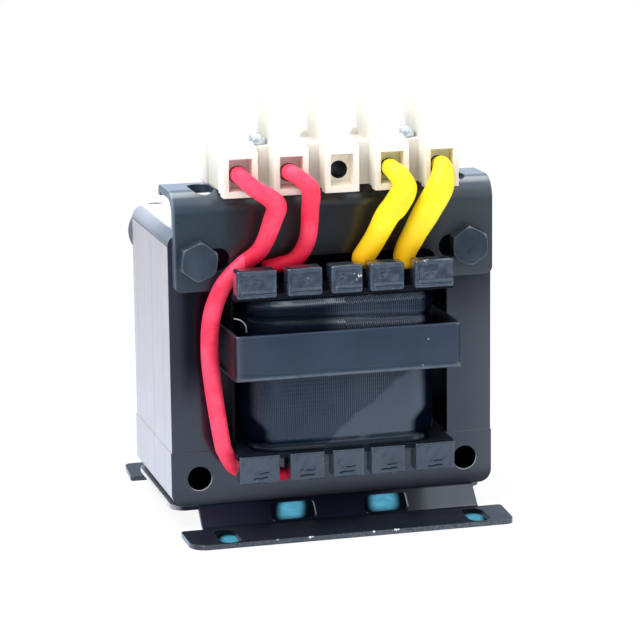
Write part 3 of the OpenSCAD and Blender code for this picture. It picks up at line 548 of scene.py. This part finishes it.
def tape(name):
    """Varnished woven tape with fine upright ribs, smoothed by running varnish low on the right,
    with a painted reflection there and painted shade on its ends.
    """
    M = Mat(name)
    x, y, z = M.xyz()
    # varnish run on the front, right of a slanting border: smoother, and painted lighter as a
    # reflection
    d = M.sub(M.mul(M.add(x, 1.6 * MM), 0.80), M.sub(z, 20.5 * MM))
    d = M.add(d, M.map(M.noise(7, 2), 0.3, 0.7, -0.8 * MM, 0.8 * MM))
    run_and_sheen = M.mul(M.map(d, -0.3 * MM, 0.5 * MM), M.below(z, 33), M.below(y, -20))
    ribs = M.math("SINE", M.mul(M.sub(M.abs(x), M.abs(y)), 2 * math.pi / (0.42 * MM)))
    weft = M.math("SINE", M.mul(z, 2 * math.pi / (0.85 * MM)))
    n = M.noise(6, 3, 0.6)
    h = M.mul(M.add(M.mul(ribs, 0.8), M.mul(weft, 0.10)), M.map(run_and_sheen, 0, 1, 1.0, 0.15))
    nor = M.bump(M.add(h, M.mul(n, 2.0)), 0.06, 0.7)
    c = M.mix(M.map(n, 0.3, 0.7), (0.003, 0.010, 0.028), (0.008, 0.019, 0.040))
    # painted reflection: greyer on the right half, ribs showing through it
    right_sheen = M.mul(M.map(x, -9 * MM, 3 * MM), M.map(M.noise(10, 2), 0.3, 0.6, 0.5, 1.0))
    c = M.mix(right_sheen, c, (0.024, 0.034, 0.056))
    c = M.mix(run_and_sheen, c, (0.028, 0.038, 0.056))
    # painted shade in the rib valleys
    line = M.mul(M.map(ribs, -1, 1), M.map(run_and_sheen, 0, 1, 0.8, 0.08))
    c = M.mix(line, c, (0.0005, 0.001, 0.004))
    # painted shade: almost black on the rounded ends, at the foot and on the left above the strap
    tuck = M.mul(M.fade(z, 24.5, 21, 0.0, 2.4 * MM), M.fade(z, 17.8, 19.2))
    navy_shade = M.mul(M.above(z, 40.5), M.fade(x, 0.5, -5), M.fade(z, 46.2, 45.2), 0.85)
    painted_shade = M.max(M.fade(M.add(x, tuck), 15.0, 16.8), M.fade(M.sub(x, tuck), -17.4, -19.0),
                 M.fade(z, 18.5, 17.7, 0.0, 0.75), navy_shade)
    c = M.mix(painted_shade, c, (0.001, 0.0022, 0.006))
    seen = M.inv(painted_shade)
    M.set(base_color=c, roughness=M.map(M.noise(5, 3), 0.3, 0.7, 0.20, 0.30), normal=nor,
          specular_ior_level=M.mul(M.map(line, 0, 1, 0.5, 0.1), seen),
          specular_tint=(0.86, 0.96, 1.0, 1),
          coat_weight=M.mul(M.map(line, 0, 1, 0.8, 0.25), seen),
          coat_roughness=0.16, coat_normal=nor)
    return M.m


MATS = {
    "core": lamination("core_laminations", (0.0075, 0.0085, 0.0190)),
    "sheet": bent_sheet("sheet_varnish", (0.0060, 0.0085, 0.0150), FOOT_BRIGHT_SPOTS),
    "bobbin": varnish("bobbin_varnish", (0.022, 0.032, 0.050), 0.24, 0.8, (0.16, 0.18, 0.21),
                      bright_spots=TAB_GLINTS, relief=True),
    "strap": strap_look("strap_varnish"),
    "tape": tape("tape_varnish"),
    "copper": metal("copper_wire", (0.72, 0.36, 0.20), 0.35),
    "liner": varnish("liner_varnish", (0.004, 0.005, 0.007), 0.5, 0.2, spec=0.2, coat=0.1),
    "zinc": metal("zinc_plate", (0.66, 0.74, 0.80), 0.25, 0.45),
    # clamps: brass darkened to near black, painted shade of the deep bores
    "brass": metal("brass_clamp_shaded", (0.022, 0.012, 0.006), 0.6, 0.85),
    "housing": nylon("housing_nylon"),
    "sleeve_red": sleeve("sleeve_red", (0.95, 0.062, 0.140), (0.80, 0.026, 0.080),
                         (1.0, 0.2, 0.2), (0.62, 0.004, 0.030)),
    "sleeve_yellow": sleeve("sleeve_yellow", (0.97, 0.78, 0.020), (0.95, 0.68, 0.012),
                            (1.0, 0.8, 0.1), (0.88, 0.46, 0.004)),
}
tail_look = varnish("tail_varnish", (0.020, 0.010, 0.008), 0.5, 0.1, spec=0.2, coat=0.1)
washer_look = metal("washer_zinc", (0.24, 0.26, 0.29), 0.35, 0.3)
# nodes that differ from the other pieces in their slot, by the start of their names
OWN_LOOKS = {
    # bobbin plates: the tabs' varnish made darker and duller as painted shade between coil and
    # tabs
    "bobbin": varnish("plate_varnish_shaded", (0.0025, 0.004, 0.009), 0.6, 0.1, spec=0.15, coat=0.05),
    "washer": washer_look,
    "clamp_screws": metal("well_screw", (0.80, 0.81, 0.80), 0.5, 0.9),
    "bolt": varnish("bolt_varnish", (0.018, 0.030, 0.046), 0.28, 1.0, (0.21, 0.26, 0.31),
                    edge_r=0.32, blotch=0.7, coat=0.6, coat_rough=0.2),
}

for row in frame["record"]["subparts"]:
    look = MATS[row["material_slot"]]
    for start, own in OWN_LOOKS.items():
        if row["node"].startswith(start):
            look = own
    materials = NODES[row["node"]].data.materials
    materials.clear()
    materials.append(look)


# ---------------------------------------------------------------- mesh helpers
def piece(name, verts, faces, slot, replaces=(), relief=None, look=None):
    """Smooth mesh that rides the part, in place of the CAD nodes it replaces."""
    me = bpy.data.meshes.new(name)
    me.from_pydata([tuple(v) for v in verts], [], faces)
    if relief:
        me.attributes.new("relief", "FLOAT", "POINT").data.foreach_set("value", relief)
    me.validate()
    bm = bmesh.new()
    bm.from_mesh(me)
    bmesh.ops.remove_doubles(bm, verts=bm.verts, dist=2e-6)
    bmesh.ops.recalc_face_normals(bm, faces=bm.faces)
    bm.to_mesh(me)
    bm.free()
    for p in me.polygons:
        p.use_smooth = True
    me.materials.append(look or MATS[slot])
    ob = place(name, me)
    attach(ob, "root")
    if replaces:
        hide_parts(*replaces)


def islands(node):
    """Boxes of the separate solids of a CAD node, left to right."""
    me = NODES[node].data
    key = {}
    parent = {}

    def find(a):
        while parent[a] != a:
            parent[a] = parent[parent[a]]
            a = parent[a]
        return a

    ids = []
    for v in me.vertices:
        k = tuple(round(c * 1e6) for c in v.co)
        key.setdefault(k, len(key))
        ids.append(key[k])
    for i in set(ids):
        parent[i] = i
    for p in me.polygons:
        vs = [ids[i] for i in p.vertices]
        for b in vs[1:]:
            parent[find(vs[0])] = find(b)
    out = {}
    for v, i in zip(me.vertices, ids):
        r = find(i)
        lo, hi = out.setdefault(r, [list(v.co), list(v.co)])
        for k in range(3):
            lo[k] = min(lo[k], v.co[k])
            hi[k] = max(hi[k], v.co[k])
    return sorted(((Vector(a), Vector(b)) for a, b in out.values()), key=lambda t: t[0].x)


def steps(a, b, r, n, k=4):
    """Grid stations from a to b with k extra ones in each rounded end."""
    e1 = [a + r * i / k for i in range(k)]
    mid = [a + r + (b - a - 2 * r) * i / n for i in range(n + 1)]
    e2 = [b - r * (k - 1 - i) / k for i in range(k)]
    return e1 + mid + e2


def block(lo, hi, r, n, disp, front, relief):
    """Rounded box as a surface grid of n cells a side, its front face towards y = front.

    disp(u, w) gives the front face's shift in mm and its mark, which goes into relief.
    """
    xs = steps(lo.x, hi.x, r, n[0])
    ys = steps(lo.y, hi.y, r, n[1])
    zs = steps(lo.z, hi.z, r, n[2])
    il, ih = lo + Vector((r, r, r)), hi - Vector((r, r, r))
    verts, faces = [], []

    def shape(p, is_front):
        c = Vector([min(max(p[k], il[k]), ih[k]) for k in range(3)])
        d = p - c
        if d.length > 0:
            d.normalize()
        q = c + d * r
        mark = 0.0
        if is_front:
            u, w = (p.x - (lo.x + hi.x) / 2) / MM, (p.z - (lo.z + hi.z) / 2) / MM
            ex = min(p.x - lo.x, hi.x - p.x) / r
            ez = min(p.z - lo.z, hi.z - p.z) / r
            k = max(0.0, min(1.0, ex, ez))
            k *= k * (3 - 2 * k)
            move, mark = disp(u, w)
            q.y += front * move * k * MM
            mark *= k
        relief.append(mark)
        return q

    def grid(A, B, f, is_front=False):
        base = len(verts)
        for a in A:
            for b in B:
                verts.append(shape(f(a, b), is_front))
        for i in range(len(A) - 1):
            for j in range(len(B) - 1):
                q = base + i * len(B) + j
                faces.append((q, q + 1, q + len(B) + 1, q + len(B)))

    yf, yb = (lo.y, hi.y) if front < 0 else (hi.y, lo.y)
    grid(xs, zs, lambda a, b: Vector((a, yf, b)), True)
    grid(xs, zs, lambda a, b: Vector((a, yb, b)))
    grid(xs, ys, lambda a, b: Vector((a, b, lo.z)))
    grid(xs, ys, lambda a, b: Vector((a, b, hi.z)))
    grid(ys, zs, lambda a, b: Vector((lo.x, a, b)))
    grid(ys, zs, lambda a, b: Vector((hi.x, a, b)))
    return verts, faces


def merge(parts):
    """One mesh from several."""
    verts, faces = [], []
    for v, f in parts:
        b = len(verts)
        verts += v
        faces += [tuple(i + b for i in q) for q in f]
    return verts, faces


def sstep(a, b, x):
    """Soft step from 0 at a to 1 at b."""
    t = min(max((x - a) / (b - a), 0.0), 1.0)
    return t * t * (3 - 2 * t)


# ---------------------------------------------------------------- terminal tabs of the bobbin
def upper_tab(hw, hh, g):
    """Face of an upper tab; hw and hh are its half width and height in mm, g its dice."""
    ph = [g.uniform(0, 6.28) for _ in range(6)]
    mx, mz = g.uniform(-0.8, 0.8), g.uniform(0.2, 0.7)

    def f(u, w):
        # sunken panel, open to the right, framed on the left and below
        left = sstep(-hw + 0.75, -hw + 1.15, u)
        low = sstep(-hh + 1.25, -hh + 1.6, w)
        top = 1 - sstep(hh - 0.9, hh - 0.5, w)
        right = 1 - 0.6 * sstep(hw - 0.55, hw - 0.25, u)
        d = -0.30 * left * low * top * right
        # groove under the lower frame
        groove = 0.16 * math.exp(-((w + hh - 0.95) / 0.16) ** 2) * left
        # wire ends drowned in varnish, with dark strokes around them
        q = math.exp(-((u - mx) / 1.3) ** 2 - ((w - mz) / 0.55) ** 2)
        twist = math.sin(3.1 * u + ph[0] + 1.4 * math.sin(3.0 * w + ph[1]))
        d += 0.16 * q * (0.45 + 0.55 * twist)
        stroke = 0.0
        for k, off in enumerate((-0.42, 0.30)):
            line = (w - mz - off - 0.07 * math.sin(2.4 * u + ph[k])
                    - 0.09 * math.sin(6.1 * u + ph[k + 2]))
            reach = math.exp(-((u - mx - 0.5 * off) / 1.2) ** 4)
            fade = 0.55 + 0.45 * math.sin(4.3 * u + ph[k + 1])
            stroke = max(stroke, fade * math.exp(-(line / 0.17) ** 2) * reach)
        d -= 0.12 * stroke + groove
        # slow waves of the varnish film
        d += 0.05 * math.sin(0.9 * u + 1.3 * w + ph[3])
        d += 0.03 * math.sin(2.2 * u - 1.7 * w + ph[4])
        # the mark: dark strokes, and painted shade in the groove
        return d, -0.17 * stroke - 0.9 * groove

    return f


def lower_tab(_, hh, g):
    """Face of a lower tab, the same way."""
    ph = [g.uniform(0, 6.28) for _ in range(4)]
    cx, cz = g.uniform(-0.3, 0.5), -hh + g.uniform(1.35, 1.6)
    bw, bh, sk = g.uniform(1.35, 1.7), g.uniform(0.42, 0.52), g.uniform(0.25, 0.5)

    def f(u, w):
        x, z = u - cx - sk * (w - cz), w - cz - 0.06 * (u - cx)
        # two thin dark dashes along the end of a pin, the upper one shorter
        mark = 0.0
        for reach, mid, at in ((0.95 * bw, 0.0, -bh), (0.6 * bw, 0.2 * bw, bh)):
            over = max(0.0, abs(x - mid) - reach)
            line = z - at - 0.05 * math.sin(3.1 * u + ph[0])
            mark -= 0.22 * math.exp(-(line / 0.14) ** 2 - (over / 0.2) ** 2)
        # the pin itself stands out under the varnish
        dx, dz = max(0.0, abs(x) - bw), max(0.0, abs(z) - bh)
        d = 0.9 * mark + 0.06 * math.exp(-(dx * dx + dz * dz) / 0.05)
        # slow waves of the varnish film
        d += 0.035 * math.sin(0.8 * u + 1.1 * w + ph[1])
        d += 0.02 * math.sin(2.6 * u - 1.9 * w + ph[2])
        return d, mark

    return f


def make_tabs():
    for level, make, r, seed in (("upper", upper_tab, 0.55, 3), ("lower", lower_tab, 0.35, 5)):
        for side, sign in (("front", -1), ("rear", 1)):
            node = f"tabs_{side}_{level}"
            parts, relief = [], []
            for i, (lo, hi) in enumerate(islands(node)):
                hw, hh = (hi.x - lo.x) / 2 / MM, (hi.z - lo.z) / 2 / MM
                g = random.Random(11 * i + seed + (100 if side == "rear" else 0))
                parts.append(block(lo, hi, r * MM, (60, 6, 46), make(hw, hh, g), sign, relief))
            piece(node + "_dipped", *merge(parts), "bobbin", (node,), relief=relief)


make_tabs()


# ---------------------------------------------------------------- leads
def catmull(p, n):
    """Curve through the points with n steps in each span."""
    out = []
    for i in range(len(p) - 1):
        p0, p1, p2, p3 = p[max(i - 1, 0)], p[i], p[i + 1], p[min(i + 2, len(p) - 1)]
        for k in range(n):
            t = k / n
            out.append(0.5 * (2 * p1 + (p2 - p0) * t + (2 * p0 - 5 * p1 + 4 * p2 - p3) * t * t
                              + (3 * p1 - p0 - 3 * p2 + p3) * t ** 3))
    out.append(p[-1])
    return out


def tube(path, radius, sides=32):
    """Round body along a path; radius in mm, as a number or by the way from 0 to 1 along it."""
    n = len(path)
    verts, faces = [], []
    u = None
    for i, c in enumerate(path):
        t = (path[min(i + 1, n - 1)] - path[max(i - 1, 0)]).normalized()
        u = t.cross(Vector((1, 0, 0))) if u is None else u - t * u.dot(t)
        u.normalize()
        v = t.cross(u)
        r = radius(i / (n - 1)) if callable(radius) else radius
        for j in range(sides):
            a = 2 * math.pi * j / sides
            verts.append(c + (u * math.cos(a) + v * math.sin(a)) * (r * MM))
    for i in range(n - 1):
        for j in range(sides):
            faces.append((i * sides + j, i * sides + (j + 1) % sides,
                          (i + 1) * sides + (j + 1) % sides, (i + 1) * sides + j))
    for end in (0, n - 1):
        c = len(verts)
        verts.append(path[end])
        for j in range(sides):
            faces.append((c, end * sides + j, end * sides + (j + 1) % sides))
    return verts, faces


# pole of each lead and its route from there: step (x, y, z) and sleeve width, all in mm
ROUTES = {
    "red_lead_1": (1, [
        (0, 2.5, 0, 3.2), (-0.2, -0.4, 0.2, 3.2), (2.3, -1.8, -2.2, 3.3), (4.8, -2.2, -3.8, 3.6),
        (6.5, -1.6, -5.7, 4.1), (6.3, 0, -8.5, 3.8), (4.3, 2.4, -14.7, 3.4),
        (0.3, 3.5, -18.2, 3.3), (-3.2, 4, -22.3, 3.5), (-5.2, 4.8, -28.3, 3.6),
        (-5.6, 5.2, -35.5, 3.6), (-5, 5.2, -42.8, 3.5), (-4.1, 2.6, -52.7, 3.3),
        (-3.4, 2.6, -55.1, 3.2), (-2.4, 2.8, -57.1, 3.1), (-1.1, 3, -58.5, 3.0),
        (1.9, 3.2, -59.7, 3.0), (9, 3.3, -60.5, 3.0)]),
    "red_lead_2": (2, [
        (0, 2.5, 0, 3.1), (-0.3, -0.6, 0.4, 3.1), (1.7, -1.9, -1, 3.2), (3.1, -2.4, -3, 3.7),
        (3.6, 0, -7.2, 3.5), (3.6, 2.6, -13.5, 3.4), (1.4, 3.2, -17.2, 3.3),
        (-1.6, 3.9, -18.3, 3.1), (-4.9, 4.8, -19, 3.0)]),
    "yellow_lead_1": (4, [
        (0, 2.2, 0, 3.2), (-0.2, 0, 0.1, 3.5), (1, -1.9, -1.4, 4.1), (1.7, -2.2, -3.8, 5.0),
        (0.3, -1.2, -7, 5.1), (-1.2, -0.2, -9.2, 4.8), (-3.2, 2, -14.2, 4.4),
        (-6.1, 3.2, -19.1, 4.4)]),
    "yellow_lead_2": (5, [
        (0, 2.2, 0, 3.2), (0, 0, 0.3, 3.4), (-0.4, -1.8, -0.9, 4.3), (-1.2, -2.2, -4, 5.4),
        (-3.3, -0.8, -8.5, 5.4), (-5.3, 1.6, -13.5, 4.8), (-6.9, 2.8, -17.5, 4.4),
        (-6.8, 2.8, -20.3, 4.1)]),
}


def make_leads():
    strip_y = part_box("terminal_housing")[0].y
    lo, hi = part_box("bobbin")
    n, conductor, coil_wire = 14, 0.8, 0.45
    for name, (pole, route) in ROUTES.items():
        clo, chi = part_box(f"clamp_{pole}")
        mouth = Vector(((clo.x + chi.x) / 2, strip_y, (clo.z + chi.z) / 2))
        pts = [mouth + Vector(p[:3]) * MM for p in route]
        path = catmull(pts, n)
        wide = [p[3] for p in route]

        def radius(s, wide=wide, m=len(path) - 1):
            # between the widths of the route's points, drawn in a little at the end
            t = s * m / n
            i = min(int(t), len(wide) - 2)
            k = sstep(0, 1, t - i)
            end = 1 - 0.25 * math.exp(-((m / n - t) / 0.18) ** 2)
            return (wide[i] * (1 - k) + wide[i + 1] * k) / 2 * end

        slot = "sleeve_red" if name.startswith("red") else "sleeve_yellow"
        piece(name + "_sleeve", *tube(path, radius), slot, (name,))
        # bare conductor in the clamp, and the coil wire from the far end to the bobbin plate
        start, end = pts[0] + Vector((0, -0.4, 0)) * MM, pts[-1]
        clamped = Vector((pts[0].x, mouth.y + 8 * MM, pts[0].z))
        wires = [tube([start.lerp(clamped, k / 6) for k in range(7)], conductor, 16)]
        tail_z = lo.z if end.z < lo.z else hi.z
        x = end.x - (0.9 * MM if end.z > hi.z else 0)
        tail = [Vector((x, end.y, end.z + (tail_z - end.z) * k / 4)) for k in range(5)]
        wires.append(tube(tail, coil_wire, 12))
        piece(name + "_wire", *merge(wires), "copper", look=tail_look)


make_leads()


# ---------------------------------------------------------------- coil and strap
COIL_CORNER = 6.0


def ring_path(hx, hy, r, side_n, corner_n):
    """Closed plan line of a rounded rectangle in mm with its outward directions."""
    pts = []
    for sx, sy, a0 in ((1, -1, -90), (1, 1, 0), (-1, 1, 90), (-1, -1, 180)):
        cx, cy = sx * (hx - r), sy * (hy - r)
        for k in range(corner_n + 1):
            a = math.radians(a0 + 90 * k / corner_n)
            d = (math.cos(a), math.sin(a))
            pts.append((cx + r * d[0], cy + r * d[1], d[0], d[1]))
    out = []
    for i, p in enumerate(pts):
        out.append(p)
        q = pts[(i + 1) % len(pts)]
        if math.hypot(q[0] - p[0], q[1] - p[1]) > 2:
            for k in range(1, side_n):
                t = k / side_n
                out.append((p[0] + (q[0] - p[0]) * t, p[1] + (q[1] - p[1]) * t, *p[2:]))
    return out


def ring(path, rows, shift=0.0):
    """Skin around a plan line through rows of z and offset in mm, closed on itself.

    An offset is a number or a function of x.
    """
    verts, faces = [], []
    n, m = len(path), len(rows)
    for z, off in rows:
        for x, y, dx, dy in path:
            o = off(x) if callable(off) else off
            verts.append(Vector((x + dx * o + shift, y + dy * o, z)) * MM)
    for i in range(m):
        for j in range(n):
            a, b = i * n + j, i * n + (j + 1) % n
            c, d = ((i + 1) % m) * n + (j + 1) % n, ((i + 1) % m) * n + j
            faces.append((a, b, c, d))
    return verts, faces


def coil_skin(hx, hy, z0, z1):
    """Taped outside of the coil: lower layers, and above a groove the upper one."""
    step = z1 - 4.6
    n = 60
    rows = []
    for k in range(n + 1):
        z = z0 + (z1 - z0) * (k / n)

        def off(x, z=z):
            # barrel of the lower layers, rolled under at its lower edge
            o = -0.30 + 0.45 * math.sin(math.pi * min(1, max(0, (z - z0) / (step - z0)))) ** 0.7
            o -= 1.1 * (1 - sstep(z0 + 0.9, z0 + 2.6, z)) * (0.6 + 0.4 * abs(x) / 19)
            # foot of the varnish on the end plate
            o += 0.9 * (1 - sstep(z0, z0 + 0.8, z))
            # upper layer stands out over a dark groove, which falls a little to the right
            edge = step - 0.0375 * x
            o += 0.40 * sstep(edge + 0.1, edge + 1.3, z)
            o -= 0.55 * math.exp(-((z - edge) / 0.42) ** 2)
            o -= 0.7 * sstep(z1 - 1.6, z1, z)
            return o - 0.1
        rows.append((z, off))
    rows += [(z1, -1.9), (z0, -1.9)]
    piece("coil_skin", *ring(ring_path(hx, hy, COIL_CORNER, 60, 18), rows), "tape",
          ("coil_wrap",))


def winding_turns(hx, hy, z0, z1):
    """The turns of wire inside the tape."""
    pitch, inner, valley, crest = 1.0, -3.2, -2.35, -2.15
    first = z0 + 0.2
    rows = []
    for k in range(int((z1 - z0) / pitch)):
        z = first + pitch * k
        rows += [(z, valley), (z + 0.3 * pitch, crest), (z + 0.7 * pitch, crest)]
    last = rows[-1][0] + 0.3
    rows += [(last, valley), (last, inner), (first, inner)]
    piece("winding_turns", *ring(ring_path(hx, hy, COIL_CORNER, 12, 8), rows), "copper",
          ("winding",))


def coil_tail(hx, hy, z1):
    """Thin end of a coil wire that stands out at the left above the strap, in pale metal as a
    painted highlight of its clear sleeve.
    """
    x, y, z = -hx - 2.2, -hy + 4.2, z1 - 4.0
    bend = [(x, y, z), (x + 1.1, y - 1.0, z - 0.2), (x + 1.9, y - 1.6, z - 1.1),
            (x + 2.1, y - 1.7, z - 2.6)]
    line = catmull([Vector(p) * MM for p in bend], 8)
    piece("coil_tail", *tube(line, 0.16, 12), "zinc", look=washer_look)


def make_coil():
    lo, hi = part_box("coil_wrap")
    hx, hy = hi.x / MM, hi.y / MM
    z0, z1 = lo.z / MM, hi.z / MM
    coil_skin(hx, hy, z0, z1)
    winding_turns(hx, hy, z0, z1)
    coil_tail(hx, hy, z1)


def make_strap():
    lo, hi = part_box("strap")
    hx, hy = (hi.x - lo.x) / 2 / MM, hi.y / MM
    cx = (hi.x + lo.x) / 2 / MM
    z0, z1 = lo.z / MM, hi.z / MM
    corner = 1.3
    # rolled lower lip
    rows = [(z0 + dz, o) for dz, o in ((0.0, -0.45), (0.06, -0.22), (0.20, -0.08), (0.45, -0.02),
                                       (0.70, -0.03), (0.85, -0.09), (1.0, -0.16))]
    n = 24
    for k in range(1, n):
        t = k / n

        def off(x, t=t):
            return -0.16 + 0.05 * math.sin(math.pi * t) + 0.05 * math.sin(0.35 * x + 2.0 * t)
        rows.append((z0 + 1.0 + (z1 - z0 - 1.25) * t, off))
    rows += [(z1 - 0.12, -0.18), (z1, -0.30), (z1, -0.9), (z0, -0.9)]
    piece("strap_band", *ring(ring_path(hx, hy, corner, 60, 8), rows, cx), "strap", ("strap",))


def make_pan_heads():
    """Fixing screws with domed heads and a driver slot."""
    for side in ("left", "right"):
        node = "strip_screw_" + side
        lo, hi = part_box(node)
        c = (lo + hi) / 2
        r = (hi.x - lo.x) / 2 / MM
        top, low = hi.z / MM, hi.z / MM - 2.2
        slot_depth, slot_half = 0.75, 0.35
        prof = [(1.25, lo.z / MM), (1.25, low), (r - 0.15, low), (r, low + 0.25), (r, low + 0.7),
                (r - 0.10, low + 1.1), (r - 0.35, low + 1.5), (r - 0.75, low + 1.85),
                (r - 1.2, low + 2.08), (0.6, low + 2.19), (0.0, top)]
        n = 48
        verts, faces = [], [tuple(range(n))]
        for pr, pz in prof:
            for k in range(n):
                a = 2 * math.pi * k / n
                px, py = pr * math.cos(a), pr * math.sin(a)
                in_slot = pr < 1.7 and abs(py) < slot_half and pz > low + 1
                z = pz - (slot_depth if in_slot else 0)
                verts.append(Vector((c.x / MM + px, c.y / MM + py, z)) * MM)
        for i in range(len(prof) - 1):
            for k in range(n):
                a, b = i * n + k, i * n + (k + 1) % n
                faces.append((a, b, b + n, a + n))
        piece(node + "_pan", verts, faces, "zinc", (node,))


make_coil()
make_strap()
make_pan_heads()


# ---------------------------------------------------------------- stage
ROOM = (0.78, 0.92, 1.14, 1)
# sideways way of the camera's view for each step in depth
VIEW_SLANT = 0.266
# light through the web windows and the foot slots: middle (across, y) and half sizes in mm
PATCHES = ((-4.4, -9, 2.6, 6.5), (15.2, -9, 2.8, 6.5), (-16.6, -26.6, 1.9, 3.0),
           (33.6, -26.2, 1.9, 3.0))


def floor_mirror(M, x, y):
    """What the varnish mirrors: pale near the part and to the right, dark room in front."""
    near = M.fade(y, -190, -95, 0.10, 0.95)
    back_row = M.sub(M.mul(x, 0.6), 272 * MM)
    right = M.mul(M.fade(M.add(x, M.mul(y, 0.05)), 28, 52),
                  M.fade(M.sub(y, back_row), -20, 20))
    corner = M.mul(M.fade(y, -360, -300, 0.0, 0.45), M.fade(x, 45, 60, 1.0, 0.0))
    # dark to both sides, where the rounded corners of the coil look
    side = M.mul(M.fade(M.abs(x), 95, 130), M.fade(y, -150, -90))
    pale = M.mul(M.max(near, right, corner), M.inv(M.mul(side, 0.93)))
    panel = M.vmath("DISTANCE", M.pos, (-0.167, -0.133, 0.0))
    return M.add(pale, M.fade(panel, 30, 90, 2.2, 0.0))


def floor_shade(M, x, y):
    """Where the floor lies in the part's shadow, and the soft blue patches of light in it."""
    across = M.sub(x, M.mul(y, VIEW_SLANT))

    def band(v, a, b, c, d):
        return M.mul(M.fade(v, a, b), M.fade(v, d, c))

    shadow = M.max(
        M.mul(band(across, -23, -18, 30, 34), M.fade(M.abs(y), 30.5, 29.5),
              M.fade(x, 33.5, 33.0)),
        M.mul(band(across, 30, 31, 36.4, 37.2), band(y, -32.5, -32.0, -22.4, -21.8)),
        M.mul(band(across, -20.7, -20.0, -18, -17), band(y, -30.3, -29.9, -22.5, -22.0)))
    square = 3.5
    glow = []
    for mid_u, mid_y, half_u, half_y in PATCHES:
        du = M.div(M.sub(across, mid_u * MM), half_u * MM)
        dy = M.div(M.sub(y, mid_y * MM), half_y * MM)
        du, dy = (M.math("POWER", M.abs(v), square) for v in (du, dy))
        glow.append(M.smooth(M.math("POWER", M.add(du, dy), 1 / square), 1.3, 0.55))
    glow = M.mul(M.max(*glow), M.map(M.noise(3, 3), 0.3, 0.7, 0.7, 1.0))
    shade = M.mix(shadow, (1.0, 1.0, 1.0), (0.002, 0.003, 0.006))
    return shadow, M.mix(glow, shade, (0.095, 0.395, 0.575))


def make_floor():
    look = bpy.data.materials.new("stage_white")
    M = Nodes(look)
    x, y, _ = M.xyz()
    mirror = floor_mirror(M, x, y)
    shadow, shade = floor_shade(M, x, y)
    lit = M.n("BsdfDiffuse", {"Color": (0.86, 0.86, 0.86, 1)})
    white = M.n("Emission", {"Color": shade, "Strength": 1.0})
    seen = M.n("Emission", {"Color": ROOM, "Strength": mirror})
    # the camera sees it almost white, the more so farther away
    far = M.map(M.vmath("LENGTH", M.pos), 0.15, 0.6, 0.92, 1.0)
    flat = M.mul(M.max(M.ray("Camera"), M.ray("Transmission")), M.max(far, shadow))
    M.finish("OutputMaterial", M.blend(M.ray("Glossy"), M.blend(flat, lit, white), seen))
    me = bpy.data.meshes.new("floor")
    s = 3.0
    me.from_pydata([(x * s, y * s, 0) for x, y in ((-1, -1), (1, -1), (1, 1), (-1, 1))], [],
                   [(0, 1, 2, 3)])
    me.materials.append(look)
    ob = place("floor", me)
    ob.location.z = -0.05 * MM


def make_room():
    """The room mirrored in the part: dark on the camera's side, pale overhead and behind."""
    world = bpy.data.worlds.new("studio")
    bpy.context.scene.world = world
    W = Nodes(world, "Generated")
    _, y, z = W.xyz()
    back = W.smooth(y, -0.6, 0.1, 0.12, 1.0)
    up = W.smooth(z, 0.35, 0.85, 0.0, 1.25)
    band = W.smooth(z, 0.02, 0.12, 0.0, 0.5)
    room = W.n("Background", {0: ROOM, 1: W.max(back, up, band)})
    ambient = W.n("Background", {0: (0.97, 0.98, 1.0, 1), 1: 0.68})
    white = W.n("Background", {1: 1.0})
    other = W.blend(W.ray("Glossy"), ambient, room)
    W.finish("OutputWorld", W.blend(W.ray("Camera"), other, white))


def area(name, loc, size, power):
    """Area light that looks at the middle of the part."""
    light = bpy.data.lights.new(name, "AREA")
    light.shape = "RECTANGLE"
    light.size, light.size_y = size
    light.energy = power
    ob = place(name, light)
    ob.location = loc
    way = Vector((0, 0, 0.04)) - Vector(loc)
    ob.rotation_euler = way.to_track_quat("-Z", "Y").to_euler()


make_floor()
make_room()
area("key", (-0.35, -0.25, 0.55), (0.4, 0.4), 3.9)
area("fill", (0.55, -0.45, 0.30), (0.35, 0.5), 1.7)
area("top", (0.0, 0.15, 0.6), (0.5, 0.4), 2.3)
bpy.context.scene.view_settings.view_transform = "Standard"
